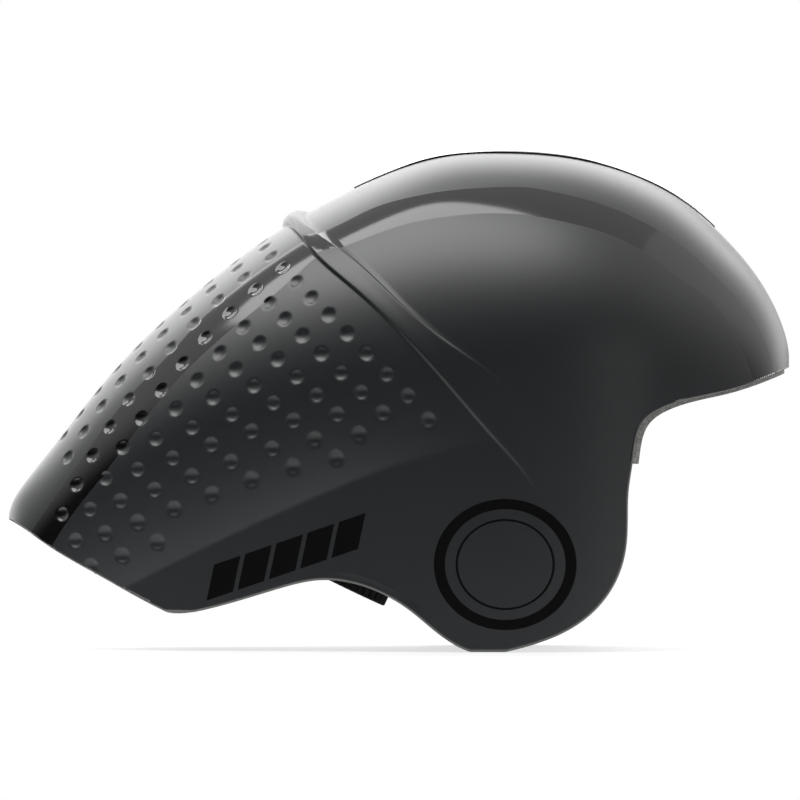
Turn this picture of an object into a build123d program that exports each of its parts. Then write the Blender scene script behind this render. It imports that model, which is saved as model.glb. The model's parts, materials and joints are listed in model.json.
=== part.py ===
"""Aero time trial helmet: a moulded skin over foam liners, with its pads, fit system, straps and buckle.

The nose points to +X and the ear covers stand on the ground plane. Left is +Y.
"""

import math
import os

from build123d import *

# Skin, in millimetres
skin_length = 400.0
skin_height = 255.0
skin_width = 192.0
skin_wall = 1.8
glue_gap = 0.3
overrun = 40.0
section_count = 23
first_section_angle = 4.0
crown_fullness_share = 0.56

# Crest from the tail's tip over the top to the brow, as shares of the length and the height
crest_shares = [
    (-0.5, 0.262), (-0.489, 0.312), (-0.447, 0.398), (-0.358, 0.571), (-0.255, 0.722), (-0.1525, 0.841),
    (-0.05, 0.929), (0.052, 0.989), (0.13, 1.0), (0.206, 0.993), (0.309, 0.947), (0.36, 0.903),
    (0.4115, 0.8345), (0.463, 0.738), (0.489, 0.659), (0.5, 0.585),
]
# Half the plan outline, as shares of the length and of half the width
plan_shares = [
    (-0.5, 0.0), (-0.495, 0.150), (-0.475, 0.280), (-0.43, 0.410), (-0.355, 0.540), (-0.27, 0.665),
    (-0.17, 0.800), (-0.07, 0.910), (0.04, 0.980), (0.155, 1.0), (0.2875, 0.925), (0.3875, 0.735),
    (0.455, 0.490), (0.48, 0.335), (0.495, 0.165), (0.5, 0.0),
]
# Height of the widest line and of the crease over the flared skirt, as shares of the length and the height
widest_shares = [(-0.5, 0.18), (-0.375, 0.29), (-0.25, 0.41), (-0.125, 0.49), (0.15, 0.555), (0.5, 0.555)]
crease_shares = [(-0.5, -0.02), (-0.32, 0.147), (-0.1975, 0.241), (-0.0935, 0.314), (0.077, 0.406),
                 (0.155, 0.426), (0.5, 0.42)]
tail_tuck_share = 0.05
tail_flare_angle = 5.0
ear_flare_angle = 2.0
change_from = -60.0
change_to = 60.0
floor_depth = 20.0

# Lower edge of the skin in the side view: under the tail, along the skirt, and up the ear cover to the brow
tail_hem_shares = [(-0.55, 0.275), (-0.5, 0.259), (-0.4475, 0.207), (-0.383, 0.149), (-0.332, 0.1047),
                   (-0.2975, 0.0775)]
skirt_hem_shares = [(-0.262, 0.0765), (-0.2295, 0.0886), (-0.152, 0.1247), (-0.101, 0.1415),
                    (-0.051, 0.132), (0.0128, 0.0824), (0.0525, 0.032), (0.09, 0.0)]
brow_hem_shares = [(0.135, 0.0), (0.181, 0.020), (0.232, 0.0604), (0.274, 0.137), (0.288, 0.210),
                   (0.291, 0.3227), (0.2958, 0.374), (0.31, 0.456), (0.3395, 0.486), (0.4115, 0.515),
                   (0.4885, 0.557), (0.55, 0.600)]

# Belt that crosses the skin from the crest down to the ear covers
belt_rise = 3.6
belt_side_rise = 0.8
belt_front_shares = [(-0.124, 0.93), (-0.118, 0.875), (-0.1065, 0.8365), (-0.0538, 0.776), (0.0577, 0.6216),
                     (0.142, 0.519), (0.195, 0.426), (0.2475, 0.366)]
belt_rear_shares = [(-0.152, 0.93), (-0.149, 0.84), (-0.1257, 0.8224), (-0.1025, 0.780), (-0.0538, 0.714),
                    (0.077, 0.499), (0.1168, 0.4263), (0.1615, 0.344)]

# Gloss strip along the crest
strip_rise = 0.8
strip_bond = 0.1
strip_rear = -23.0
strip_front = 162.0
strip_width = 32.0

# Head space inside the foam
head_middle = 62.0
head_length = 206.0
head_width = 156.0
head_centre_height = 105.0
head_rise = 118.0
ear_space_length = 220.0
ear_space_width = 172.0
liner_parting_height = 95.0
liner_parting_x = -20.0
parting_top_x = -61.0
lip_forward = 3.0
lip_down = 0.8
groove_depth = 5.0
groove_width = 14.0
groove_spacing = 34.0
groove_rear = -10.0
groove_front = 120.0
groove_count = 2
duct_width = 50.0
duct_floor = 48.0
duct_height = 36.0
duct_corner = 12.0

# Pads
pad_thick = 5.0
pad_gap = 0.3
brow_pad_low = 148.0
brow_pad_high = 172.0
brow_pad_reach = 108.0
top_pad_rear = 20.0
top_pad_front = 104.0
top_pad_width = 16.0
crown_pad_rear = 12.0
crown_pad_front = 104.0
crown_pad_inner = 27.0
crown_pad_outer = 43.0
ear_pad_rear = 26.0
ear_pad_front = 92.0
ear_pad_low = 14.0
ear_pad_high = 84.0
ear_pad_corner = 20.0
ear_window_corner = 12.0
ear_pad_rim = 16.0
ear_pad_thick = 4.0

# Halo band round the brow and temples
halo_low = 134.0
halo_tall = 12.0
halo_thick = 1.2
halo_inset = 4.6
halo_rear = 44.0
plug_diameter = 9.0

# Fit dial, its frame tilted under the nape
dial_x = -21.1
dial_z = 32.3
dial_tilt = 25.4
dial_diameter = 30.5
lobe_diameter = 3.0
lobe_count = 26
dial_thick = 8.0
running_gap = 0.4
shaft_clearance = 0.08

# Rack and pinion in the housing
pinion_teeth = 10
tooth_module = 1.0
tooth_backlash = 0.35
tooth_gap = 0.25
shaft_diameter = 6.0
hex_across = 5.0
rack_tall = 4.0
rack_back = 2.6
rack_travel = 10.0
rack_end = -3.0
rack_teeth = 6
rack_lead = 1
lug_rear = 10.0
housing_length = 28.0
housing_width = 44.0
housing_floor = 2.0
housing_corner = 4.0
cover_thick = 1.6
screw_diameter = 2.2
screw_head_diameter = 4.2
screw_head_thick = 1.2
screw_spacing = 30.0

# Nape cradle, arms and rail
ring_middle = 52.0
arm_ring_length = 168.0
arm_ring_width = 140.0
arm_thick = 1.6
arm_tall = 9.0
arm_rear_x = -30.0
arm_rear_z = 40.0
arm_bend_x = -6.0
arm_bend_z = 52.0
arm_front_x = 46.0
arm_front_z = 108.0
lug_width = 6.0
cradle_gap = 1.2
cradle_thick = 2.4
cradle_low = 47.0
cradle_high = 96.0
cradle_width = 72.0
cradle_corner = 14.0
cradle_window_width = 20.0
cradle_window_tall = 26.0
cradle_window_spacing = 34.0
flange_length = 35.5
flange_reach = 14.0
flange_width = 38.0
flange_thick = 2.0
cradle_pad_thick = 3.5
cradle_pad_width = 50.0
cradle_pad_low = 60.0
slider_width = 12.0
slider_thick = 2.0
slider_gap = 1.8
slider_low = 62.0
slider_block_tall = 16.0
slider_high = 118.0
rail_low = 96.5
rail_high = 124.0
rail_width = 19.0
rail_wall = 2.2
rail_lip = 1.0
rail_lip_width = 3.0
rail_slot_top = 142.0

# Straps, dividers and levers
strap_y = 75.5
webbing_width = 16.0
webbing_thick = 1.4
strap_layer = 0.9
divider_x = 58.0
divider_low = 34.0
divider_tall = 18.0
divider_length = 36.0
divider_thick = 7.0
divider_corner = 5.0
divider_slot_clearance = 0.3
strap_low = 48.0
strap_spread = 4.0
front_anchor_x = 98.0
rear_anchor_x = 20.0
anchor_length = 20.0
anchor_width = 5.0
anchor_tall = 11.0
anchor_clearance = 0.2
lever_length = 20.0
lever_thick = 1.6
lever_tall = 12.5
lever_pin_diameter = 1.5
lever_knuckle_diameter = 3.0
lever_lug = 2.0

# Chin strap and buckle
chin_low = 12.5
chin_top = 39.0
chin_hang_share = 0.35
chin_flat = 38.0
buckle_width = 23.0
buckle_thick = 8.0
buckle_corner = 3.0
socket_rear = -18.0
socket_front = 6.0
socket_wall = 1.8
plug_gap = 0.4
plug_front = 22.0
plug_pocket = 12.5
prong_length = 7.5
prong_width = 2.8
prong_spacing = 12.6
prong_thick = 4.0
strap_reach = 3.0
keeper_y = 34.5
keeper_width = 3.0
keeper_wall = 1.5
chin_pad_y = 32.0
chin_pad_length = 16.0
chin_pad_thick = 6.0
chin_pad_extra = 4.0


def sampled(shares, width_scale, height_scale, count=400):
    """Points along the smooth line through a list of shares, round where it meets the length's ends."""
    angles = [math.acos(-2 * a) for a, b in shares]
    with BuildLine() as line:
        Spline(*[(width_scale * angle, height_scale * b) for angle, (a, b) in zip(angles, shares)])
    places = [line.edges()[0].position_at(i / count) for i in range(count + 1)]
    return [(-width_scale / 2 * math.cos(place.X / width_scale), place.Y) for place in places]


def moved_in(line, inset):
    """A sampled line moved square to itself, inwards for a line that runs over the top."""
    moved = []
    for i, (x, z) in enumerate(line):
        before, after = line[max(i - 1, 0)], line[min(i + 1, len(line) - 1)]
        run, rise = after[0] - before[0], after[1] - before[1]
        size = math.hypot(run, rise)
        moved.append((x + inset * rise / size, z - inset * run / size))
    return moved


crest_line = sampled(crest_shares, skin_length, skin_height)
plan_line = sampled(plan_shares, skin_length, skin_width / 2)
widest_line = sampled(widest_shares, skin_length, skin_height)
crease_line = sampled(crease_shares, skin_length, skin_height)


def height_on(line, x, inset=0):
    """Height of a sampled line, moved in by the inset, where it passes x."""
    moved = moved_in(line, inset)
    for (x0, z0), (x1, z1) in zip(moved, moved[1:]):
        if x0 <= x <= x1 and x1 > x0:
            return z0 + (z1 - z0) * (x - x0) / (x1 - x0)
    return moved[0][1] if x < moved[0][0] else moved[-1][1]


def ease(x, start, end):
    """Smooth step from 0 at the start to 1 at the end."""
    t = min(1.0, max(0.0, (x - start) / (end - start)))
    return t * t * (3 - 2 * t)


def stations(half):
    """Places along X that crowd towards both ends, as a round end needs."""
    step = (180 - 2 * first_section_angle) / (section_count - 1)
    return [-half * math.cos(math.radians(first_section_angle + step * i)) for i in range(section_count)]


def section(x, top_inset, side_inset, low):
    """One cross-section: an arch over the widest line, then a tucked side and a flared skirt."""
    half = height_on(plan_line, x, side_inset)
    widest = height_on(widest_line, x)
    crease = height_on(crease_line, x)
    top = height_on(crest_line, x, top_inset)
    full = crown_fullness_share
    ear = ease(x, change_from, change_to)
    tuck = half - tail_tuck_share * half * (1 - ear)
    angle = tail_flare_angle + (ear_flare_angle - tail_flare_angle) * ear
    hem = tuck + (crease - low) * math.tan(math.radians(angle))
    rise = widest + full * (top - widest)
    middle = (widest + crease) / 2
    knee = (crease + low) / 2
    with BuildSketch(Plane.YZ.offset(x)) as face:
        with BuildLine():
            Bezier((half, widest), (half, rise), (full * half, top), (0, top))
            Bezier((0, top), (-full * half, top), (-half, rise), (-half, widest))
            Bezier((-half, widest), (-half, middle), (-tuck, crease))
            Bezier((-tuck, crease), (-tuck - (hem - tuck) / 3, knee), (-hem, low))
            Line((-hem, low), (hem, low))
            Bezier((hem, low), (tuck + (hem - tuck) / 3, knee), (tuck, crease))
            Bezier((tuck, crease), (half, middle), (half, widest))
        make_face()
    return face.sketch


def skin_form(top_inset, side_inset, low=-floor_depth):
    """The helmet's outer form as a solid, moved in by one amount at the crest and another at the sides."""
    with BuildPart() as form:
        for x in stations(skin_length / 2 - side_inset):
            add(section(x, top_inset, side_inset, low))
        loft()
    return form.part


def hem_points(shares, dx, dz):
    """A stretch of the hem, moved by dx and dz."""
    return [(skin_length * a + dx, skin_height * b + dz) for a, b in shares]


def below_hem(dx=0, dz=0):
    """All that lies below the hem, moved forwards by dx and up by dz."""
    with BuildPart() as cut:
        with BuildSketch(Plane.XZ):
            with BuildLine():
                tail = Spline(*hem_points(tail_hem_shares, dx, dz))
                skirt = Spline(*hem_points(skirt_hem_shares, dx, dz))
                brow = Spline(*hem_points(brow_hem_shares, dx, dz))
                Spline(tail @ 1, skirt @ 0, tangents=(tail % 1, skirt % 0))
                Line(skirt @ 1, brow @ 0)
                Polyline(brow @ 1, (skin_length, -skin_height), (-skin_length, -skin_height), tail @ 0)
            make_face()
        extrude(amount=skin_width, both=True)
    return cut.part


outer_form = skin_form(0, 0)
inner_form = skin_form(skin_wall, skin_wall, -floor_depth - overrun)
liner_form = skin_form(skin_wall + glue_gap, skin_wall + glue_gap)


def write(built, name):
    """Label a finished piece and write it to its own file."""
    built.part.label = name
    export_step(built.part, f"parts/{name}.step")


def both_sides(left, name):
    """Write a left-hand piece and its mirror image."""
    write(left, f"left_{name}")
    with BuildPart() as right:
        add(mirror(left.part, about=Plane.XZ))
    write(right, f"right_{name}")


def side_prism(points):
    """A straight-sided outline in the side view, run right across the helmet."""
    with BuildPart() as prism:
        with BuildSketch(Plane.XZ):
            with BuildLine():
                Polyline(*points, close=True)
            make_face()
        extrude(amount=skin_width, both=True)
    return prism.part


def head_space(inset, length=head_length, width=head_width):
    """The space for the head: half an ellipsoid on an oval column, moved in by the inset."""
    half_length = length / 2 - inset
    half_width = width / 2 - inset
    with BuildPart() as dome:
        Sphere(1)
        scale(by=(half_length, half_width, head_rise - inset))
    with BuildPart() as space:
        with BuildSketch(Plane.XY.offset(-floor_depth - overrun)):
            with Locations((head_middle, 0)):
                Ellipse(half_length, half_width)
        extrude(amount=floor_depth + overrun + head_centre_height)
        add(dome.part.moved(Location((head_middle, 0, head_centre_height))))
    return space.part


def oval_band(middle, length, width, thick, low, high):
    """An upright band that follows an oval in plan."""
    with BuildPart() as band:
        with BuildSketch(Plane.XY.offset(low)):
            with Locations((middle, 0)):
                Ellipse(length / 2, width / 2)
                Ellipse(length / 2 - thick, width / 2 - thick, mode=Mode.SUBTRACT)
        extrude(amount=high - low)
    return band.part


def make_skin():
    """Moulded skin with its belt ridge, and the gloss strip along its crest."""
    belt_points = hem_points(belt_front_shares, 0, 0) + hem_points(reversed(belt_rear_shares), 0, 0)
    with BuildPart() as belt:
        add(skin_form(-belt_rise, -belt_side_rise))
        add(side_prism(belt_points), mode=Mode.INTERSECT)
    with BuildPart() as outer_shell:
        add(outer_form)
        add(belt.part)
        add(inner_form, mode=Mode.SUBTRACT)
        add(below_hem(), mode=Mode.SUBTRACT)
    write(outer_shell, "outer_shell")
    middle = (strip_front + strip_rear) / 2
    with BuildPart() as lens:
        with BuildSketch(Plane.XY.offset(skin_height / 2)):
            with BuildLine():
                ThreePointArc((strip_rear, 0), (middle, strip_width / 2), (strip_front, 0))
                ThreePointArc((strip_front, 0), (middle, -strip_width / 2), (strip_rear, 0))
            make_face()
        extrude(amount=skin_height)
    with BuildPart() as crest_strip:
        add(skin_form(-strip_rise, -strip_rise))
        add(lens.part, mode=Mode.INTERSECT)
        add(skin_form(-strip_bond, -strip_bond), mode=Mode.SUBTRACT)
    write(crest_strip, "crest_strip")


def make_liners():
    """Foam liners: crown, tail with its air duct, and one behind each ear cover."""
    far = skin_length
    parting = (liner_parting_x, liner_parting_height)
    crown_zone = side_prism([parting, (far, liner_parting_height), (far, far), (parting_top_x, far),
                             (parting_top_x, skin_height)])
    tail_zone = side_prism([parting, (parting_top_x, skin_height), (parting_top_x, far), (-far, far),
                            (-far, -far), (liner_parting_x, -far)])
    ear_zone = side_prism([parting, (liner_parting_x, -far), (far, -far), (far, liner_parting_height)])
    wide_space = head_space(0, ear_space_length, ear_space_width)
    below_parting = side_prism([(-far, liner_parting_height), (far, liner_parting_height), (far, -far),
                                (-far, -far)])
    with BuildPart() as slots:
        with Locations(((groove_front + groove_rear) / 2, 0, skin_height)):
            with GridLocations(0, groove_spacing, 1, groove_count):
                Box(groove_front - groove_rear, groove_width, skin_height)
    with BuildPart() as grooves:
        add(head_space(-groove_depth))
        add(slots.part, mode=Mode.INTERSECT)
    anchors = anchor_blocks(anchor_clearance)
    with BuildPart() as crown_liner:
        add(liner_form)
        add(crown_zone, mode=Mode.INTERSECT)
        add(below_hem(lip_forward, -lip_down), mode=Mode.SUBTRACT)
        add(head_space(0), mode=Mode.SUBTRACT)
        add(grooves.part, mode=Mode.SUBTRACT)
        add(anchors, mode=Mode.SUBTRACT)
    write(crown_liner, "crown_liner")
    with BuildPart() as duct:
        with BuildSketch(Plane.YZ.offset(-far)):
            with Locations((0, duct_floor + duct_height / 2)):
                RectangleRounded(duct_width, duct_height, duct_corner)
        extrude(amount=far + head_middle)
    with BuildPart() as low_space:
        add(wide_space)
        add(below_parting, mode=Mode.INTERSECT)
    with BuildPart() as tail_liner:
        add(liner_form)
        add(tail_zone, mode=Mode.INTERSECT)
        add(below_hem(), mode=Mode.SUBTRACT)
        add(head_space(0), mode=Mode.SUBTRACT)
        add(low_space.part, mode=Mode.SUBTRACT)
        add(duct.part, mode=Mode.SUBTRACT)
        add(rail_pocket(), mode=Mode.SUBTRACT)
    write(tail_liner, "tail_liner")
    with BuildPart() as left_ear_liner:
        add(liner_form)
        add(ear_zone, mode=Mode.INTERSECT)
        add(below_hem(), mode=Mode.SUBTRACT)
        add(low_space.part, mode=Mode.SUBTRACT)
        split(bisect_by=Plane.XZ, keep=Keep.BOTTOM)
    both_sides(left_ear_liner, "ear_liner")


def block(x_range, y_range, z_range):
    """A square block between two values on each axis."""
    sizes = [high - low for low, high in (x_range, y_range, z_range)]
    with BuildPart() as built:
        with Locations([(sum(x_range) / 2, sum(y_range) / 2, sum(z_range) / 2)]):
            Box(*sizes)
    return built.part


def rounded_slab(plane, length, width, corner, thick, middle=(0, 0)):
    """A plate with rounded corners that stands on a plane."""
    with BuildPart() as built:
        with BuildSketch(plane):
            with Locations(middle):
                RectangleRounded(length, width, corner)
        extrude(amount=thick)
    return built.part


def anchor_blocks(gap):
    """The four strap anchors, or their pockets when a gap is given."""
    with BuildPart() as anchors:
        for x in (front_anchor_x, rear_anchor_x):
            for y in (strap_y, -strap_y):
                half_length = anchor_length / 2 + gap
                half_width = anchor_width / 2 + gap
                add(block((x - half_length, x + half_length), (y - half_width, y + half_width),
                          (liner_parting_height, liner_parting_height + anchor_tall + gap)))
    return anchors.part


cradle_back = ring_middle - arm_ring_length / 2 - cradle_gap - cradle_thick
slider_front = cradle_back - slider_gap
slider_rear = slider_front - slider_thick
rail_front = slider_front + pad_gap / 2 + rail_lip
rail_rear = slider_rear - pad_gap / 2 - rail_wall


def rail_pocket():
    """Pocket in the tail liner for the height rail and the slider's path above it."""
    half = rail_width / 2 + glue_gap
    low = liner_parting_height - skin_wall
    return block((rail_rear - glue_gap, head_middle), (-half, half), (low, rail_slot_top))


def make_pads():
    """Soft pads that line the head space."""
    with BuildPart() as pad_layer:
        add(head_space(pad_gap))
        add(head_space(pad_gap + pad_thick), mode=Mode.SUBTRACT)
    far = skin_height
    half_top = top_pad_width / 2
    with BuildPart() as brow_pad:
        add(pad_layer.part)
        add(block((brow_pad_reach, far), (-far, far), (brow_pad_low, brow_pad_high)), mode=Mode.INTERSECT)
    write(brow_pad, "brow_pad")
    with BuildPart() as top_pad:
        add(pad_layer.part)
        add(block((top_pad_rear, top_pad_front), (-half_top, half_top), (far / 2, far)),
            mode=Mode.INTERSECT)
    write(top_pad, "top_pad")
    with BuildPart() as left_crown_pad:
        add(pad_layer.part)
        add(block((crown_pad_rear, crown_pad_front), (crown_pad_inner, crown_pad_outer), (far / 2, far)),
            mode=Mode.INTERSECT)
    both_sides(left_crown_pad, "crown_pad")
    middle = ((ear_pad_rear + ear_pad_front) / 2, (ear_pad_low + ear_pad_high) / 2)
    length = ear_pad_front - ear_pad_rear
    tall = ear_pad_high - ear_pad_low
    with BuildPart() as left_ear_pad:
        add(head_space(pad_gap, ear_space_length, ear_space_width))
        add(head_space(pad_gap + ear_pad_thick, ear_space_length, ear_space_width), mode=Mode.SUBTRACT)
        add(rounded_slab(Plane.XZ, length, tall, ear_pad_corner, -far, middle), mode=Mode.INTERSECT)
        add(rounded_slab(Plane.XZ, length - 2 * ear_pad_rim, tall - 2 * ear_pad_rim, ear_window_corner,
                         -far, middle), mode=Mode.SUBTRACT)
    both_sides(left_ear_pad, "ear_pad")


def make_halo():
    """Flexible band round the brow, and the plugs that hold it off the foam."""
    shrink = math.sqrt(1 - ((halo_low + halo_tall - head_centre_height) / head_rise) ** 2)
    length = head_length * shrink - 2 * halo_inset
    width = head_width * shrink - 2 * halo_inset
    with BuildPart() as halo_band:
        add(oval_band(head_middle, length, width, halo_thick, halo_low, halo_low + halo_tall))
        add(block((halo_rear, skin_length), (-skin_width, skin_width), (0, skin_height)),
            mode=Mode.INTERSECT)
    write(halo_band, "halo_band")
    plug_length = halo_inset - 2 * pad_gap
    middle_z = halo_low + halo_tall / 2
    with BuildPart() as halo_plugs:
        with BuildSketch(Plane.XZ.offset(-width / 2 - pad_gap)):
            with Locations((head_middle, middle_z)):
                Circle(plug_diameter / 2)
        extrude(amount=-plug_length)
        with BuildSketch(Plane.XZ.offset(width / 2 + pad_gap)):
            with Locations((head_middle, middle_z)):
                Circle(plug_diameter / 2)
        extrude(amount=plug_length)
        with BuildSketch(Plane.YZ.offset(head_middle + length / 2 + pad_gap)):
            with Locations((0, middle_z)):
                Circle(plug_diameter / 2)
        extrude(amount=plug_length)
    write(halo_plugs, "halo_plugs")


tilt = math.radians(dial_tilt)
dial_frame = Plane(origin=(dial_x, 0, dial_z), x_dir=(math.cos(tilt), 0, -math.sin(tilt)),
                   z_dir=(math.sin(tilt), 0, math.cos(tilt)))
housing_bottom = dial_thick / 2 + running_gap
pocket_bottom = housing_bottom + housing_floor
pocket_tall = rack_tall + 2 * tooth_gap
cover_bottom = pocket_bottom + pocket_tall
flange_bottom = cover_bottom + cover_thick
pitch_radius = pinion_teeth * tooth_module / 2
tooth_pitch = math.pi * tooth_module
tooth_half = tooth_pitch / 4 - tooth_backlash / 2
tip_out = 0.9 * tooth_module
root_in = 1.15 * tooth_module


def tooth(base, sign):
    """Outline of one tooth that stands out along the first axis from a base to its tip."""
    tip = base + sign * (tip_out + root_in)
    pitch = base + sign * root_in
    half_base = 1.5 * tooth_half
    half_tip = tooth_half / 2
    return [(base, half_base), (pitch, tooth_half), (tip, half_tip), (tip, -half_tip), (pitch, -tooth_half),
            (base, -half_base)]


def make_dial():
    """Knurled wheel, the pinion that it turns and the screw that joins them."""
    with BuildPart() as fit_dial:
        with BuildSketch(dial_frame.offset(-dial_thick / 2)):
            Circle(dial_diameter / 2)
            with PolarLocations(dial_diameter / 2, lobe_count):
                Circle(lobe_diameter / 2)
        extrude(amount=dial_thick)
        ends = fit_dial.faces().sort_by(Axis(dial_frame.origin, dial_frame.z_dir))
        chamfer(ends[0].edges() + ends[-1].edges(), lobe_diameter / 5)
        with BuildSketch(dial_frame.offset(-dial_thick / 2)):
            RegularPolygon(hex_across / 2 + shaft_clearance, 6, major_radius=False)
        extrude(amount=dial_thick, mode=Mode.SUBTRACT)
        with BuildSketch(dial_frame.offset(-dial_thick / 2)):
            Circle(screw_head_diameter)
        extrude(amount=2 * screw_head_thick, mode=Mode.SUBTRACT)
    write(fit_dial, "fit_dial")
    seat = -dial_thick / 2 + 2 * screw_head_thick
    with BuildPart() as dial_pinion:
        with BuildSketch(dial_frame.offset(pocket_bottom + tooth_gap)):
            Circle(pitch_radius - root_in + shaft_clearance)
            with PolarLocations(0, pinion_teeth):
                with BuildLine():
                    Polyline(*tooth(pitch_radius - root_in, 1), close=True)
                make_face()
        extrude(amount=rack_tall)
        with BuildSketch(dial_frame.offset(dial_thick / 2)):
            Circle(shaft_diameter / 2)
        extrude(amount=housing_bottom - dial_thick / 2 + housing_floor + tooth_gap)
        with BuildSketch(dial_frame.offset(seat)):
            RegularPolygon(hex_across / 2, 6, major_radius=False)
        extrude(amount=dial_thick / 2 - seat)
        with BuildSketch(dial_frame.offset(seat)):
            Circle(screw_diameter / 2 + shaft_clearance)
        extrude(amount=dial_thick, mode=Mode.SUBTRACT)
    write(dial_pinion, "dial_pinion")
    with BuildPart() as dial_screw:
        with BuildSketch(dial_frame.offset(seat - screw_head_thick)):
            Circle(screw_head_diameter / 2 + screw_head_thick)
        extrude(amount=screw_head_thick)
        with BuildSketch(dial_frame.offset(seat)):
            Circle(screw_diameter / 2)
        extrude(amount=dial_thick - screw_head_thick)
        with BuildSketch(dial_frame.offset(seat - screw_head_thick)):
            RegularPolygon(screw_diameter / 2, 6)
        extrude(amount=screw_head_thick / 2, mode=Mode.SUBTRACT)
    write(dial_screw, "dial_screw")


def make_housing():
    """Housing for the racks, its cover, and the screws that hold both to the cradle."""
    screw_out = (housing_length / 2 + pitch_radius + root_in + rack_back + tooth_gap) / 2
    rack_room = 2 * (pitch_radius + root_in + rack_back + tooth_gap)
    with BuildPart() as dial_housing:
        add(rounded_slab(dial_frame.offset(housing_bottom), housing_length, housing_width, housing_corner,
                         housing_floor + pocket_tall))
        with BuildSketch(dial_frame.offset(pocket_bottom)):
            Rectangle(rack_room, housing_width + overrun)
        extrude(amount=pocket_tall, mode=Mode.SUBTRACT)
        with BuildSketch(dial_frame.offset(housing_bottom)):
            Circle(shaft_diameter / 2 + shaft_clearance)
        extrude(amount=housing_floor, mode=Mode.SUBTRACT)
        with BuildSketch(dial_frame.offset(pocket_bottom)):
            with GridLocations(2 * screw_out, screw_spacing, 2, 2):
                Circle(screw_diameter / 2 + shaft_clearance)
        extrude(amount=pocket_tall, mode=Mode.SUBTRACT)
    write(dial_housing, "dial_housing")
    with BuildPart() as housing_cover:
        add(rounded_slab(dial_frame.offset(cover_bottom), housing_length, housing_width, housing_corner,
                         cover_thick))
        with BuildSketch(dial_frame.offset(cover_bottom)):
            with GridLocations(2 * screw_out, screw_spacing, 2, 2):
                Circle(screw_diameter / 2 + shaft_clearance)
        extrude(amount=cover_thick, mode=Mode.SUBTRACT)
    write(housing_cover, "housing_cover")
    with BuildPart() as housing_screws:
        with BuildSketch(dial_frame.offset(pocket_bottom + tooth_gap)):
            with GridLocations(2 * screw_out, screw_spacing, 2, 2):
                Circle(screw_diameter / 2)
        extrude(amount=flange_bottom + flange_thick - pocket_bottom - tooth_gap)
        with BuildSketch(dial_frame.offset(flange_bottom + flange_thick)):
            with GridLocations(2 * screw_out, screw_spacing, 2, 2):
                Circle(screw_head_diameter / 2)
        extrude(amount=screw_head_thick)
    write(housing_screws, "housing_screws")
    return screw_out


def make_cradle(screw_out):
    """Nape cradle with its flange and slider, its pad, and the rail that the slider runs in."""
    length = arm_ring_length + 2 * (cradle_gap + cradle_thick)
    width = arm_ring_width + 2 * (cradle_gap + cradle_thick)
    tall = cradle_high - cradle_low
    middle_z = (cradle_high + cradle_low) / 2
    flange_rear = flange_length - flange_reach
    half_slider = slider_width / 2
    with BuildPart() as nape_cradle:
        add(oval_band(ring_middle, length, width, cradle_thick, cradle_low, cradle_high))
        add(rounded_slab(Plane.YZ, cradle_width, tall, cradle_corner, -skin_width, (0, middle_z)),
            mode=Mode.INTERSECT)
        with BuildSketch(Plane.YZ):
            with Locations((0, middle_z)):
                with GridLocations(cradle_window_spacing, 0, 2, 1):
                    RectangleRounded(cradle_window_width, cradle_window_tall, cradle_corner / 2)
        extrude(amount=-skin_width, mode=Mode.SUBTRACT)
        with BuildSketch(dial_frame.offset(flange_bottom)):
            with Locations(((flange_reach - flange_rear) / 2, 0)):
                Rectangle(flange_length, flange_width)
        extrude(amount=flange_thick)
        with BuildSketch(dial_frame.offset(flange_bottom)):
            with GridLocations(2 * screw_out, screw_spacing, 2, 2):
                Circle(screw_diameter / 2 + shaft_clearance)
        extrude(amount=flange_thick, mode=Mode.SUBTRACT)
        add(block((slider_rear, slider_front), (-half_slider, half_slider), (slider_low, slider_high)))
        add(block((slider_rear, cradle_back + cradle_thick / 2), (-half_slider, half_slider),
                  (slider_low, slider_low + slider_block_tall)))
    write(nape_cradle, "nape_cradle")
    inner_length = arm_ring_length + 2 * cradle_gap - 2 * pad_gap
    inner_width = arm_ring_width + 2 * cradle_gap - 2 * pad_gap
    pad_tall = cradle_high - cradle_pad_low - pad_thick
    with BuildPart() as cradle_pad:
        add(oval_band(ring_middle, inner_length, inner_width, cradle_pad_thick, cradle_low, cradle_high))
        add(rounded_slab(Plane.YZ, cradle_pad_width, pad_tall, cradle_corner / 2, -skin_width,
                         (0, cradle_pad_low + pad_tall / 2)), mode=Mode.INTERSECT)
    write(cradle_pad, "cradle_pad")
    half_channel = half_slider + pad_gap / 2
    half_mouth = half_channel - rail_lip_width
    half_rail = rail_width / 2
    with BuildPart() as height_rail:
        add(block((rail_rear, rail_front), (-half_rail, half_rail), (rail_low, rail_high)))
        add(block((rail_rear + rail_wall, rail_front - rail_lip), (-half_channel, half_channel),
                  (0, skin_height)), mode=Mode.SUBTRACT)
        add(block((rail_rear + rail_wall, 0), (-half_mouth, half_mouth), (0, skin_height)),
            mode=Mode.SUBTRACT)
    write(height_rail, "height_rail")


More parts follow.
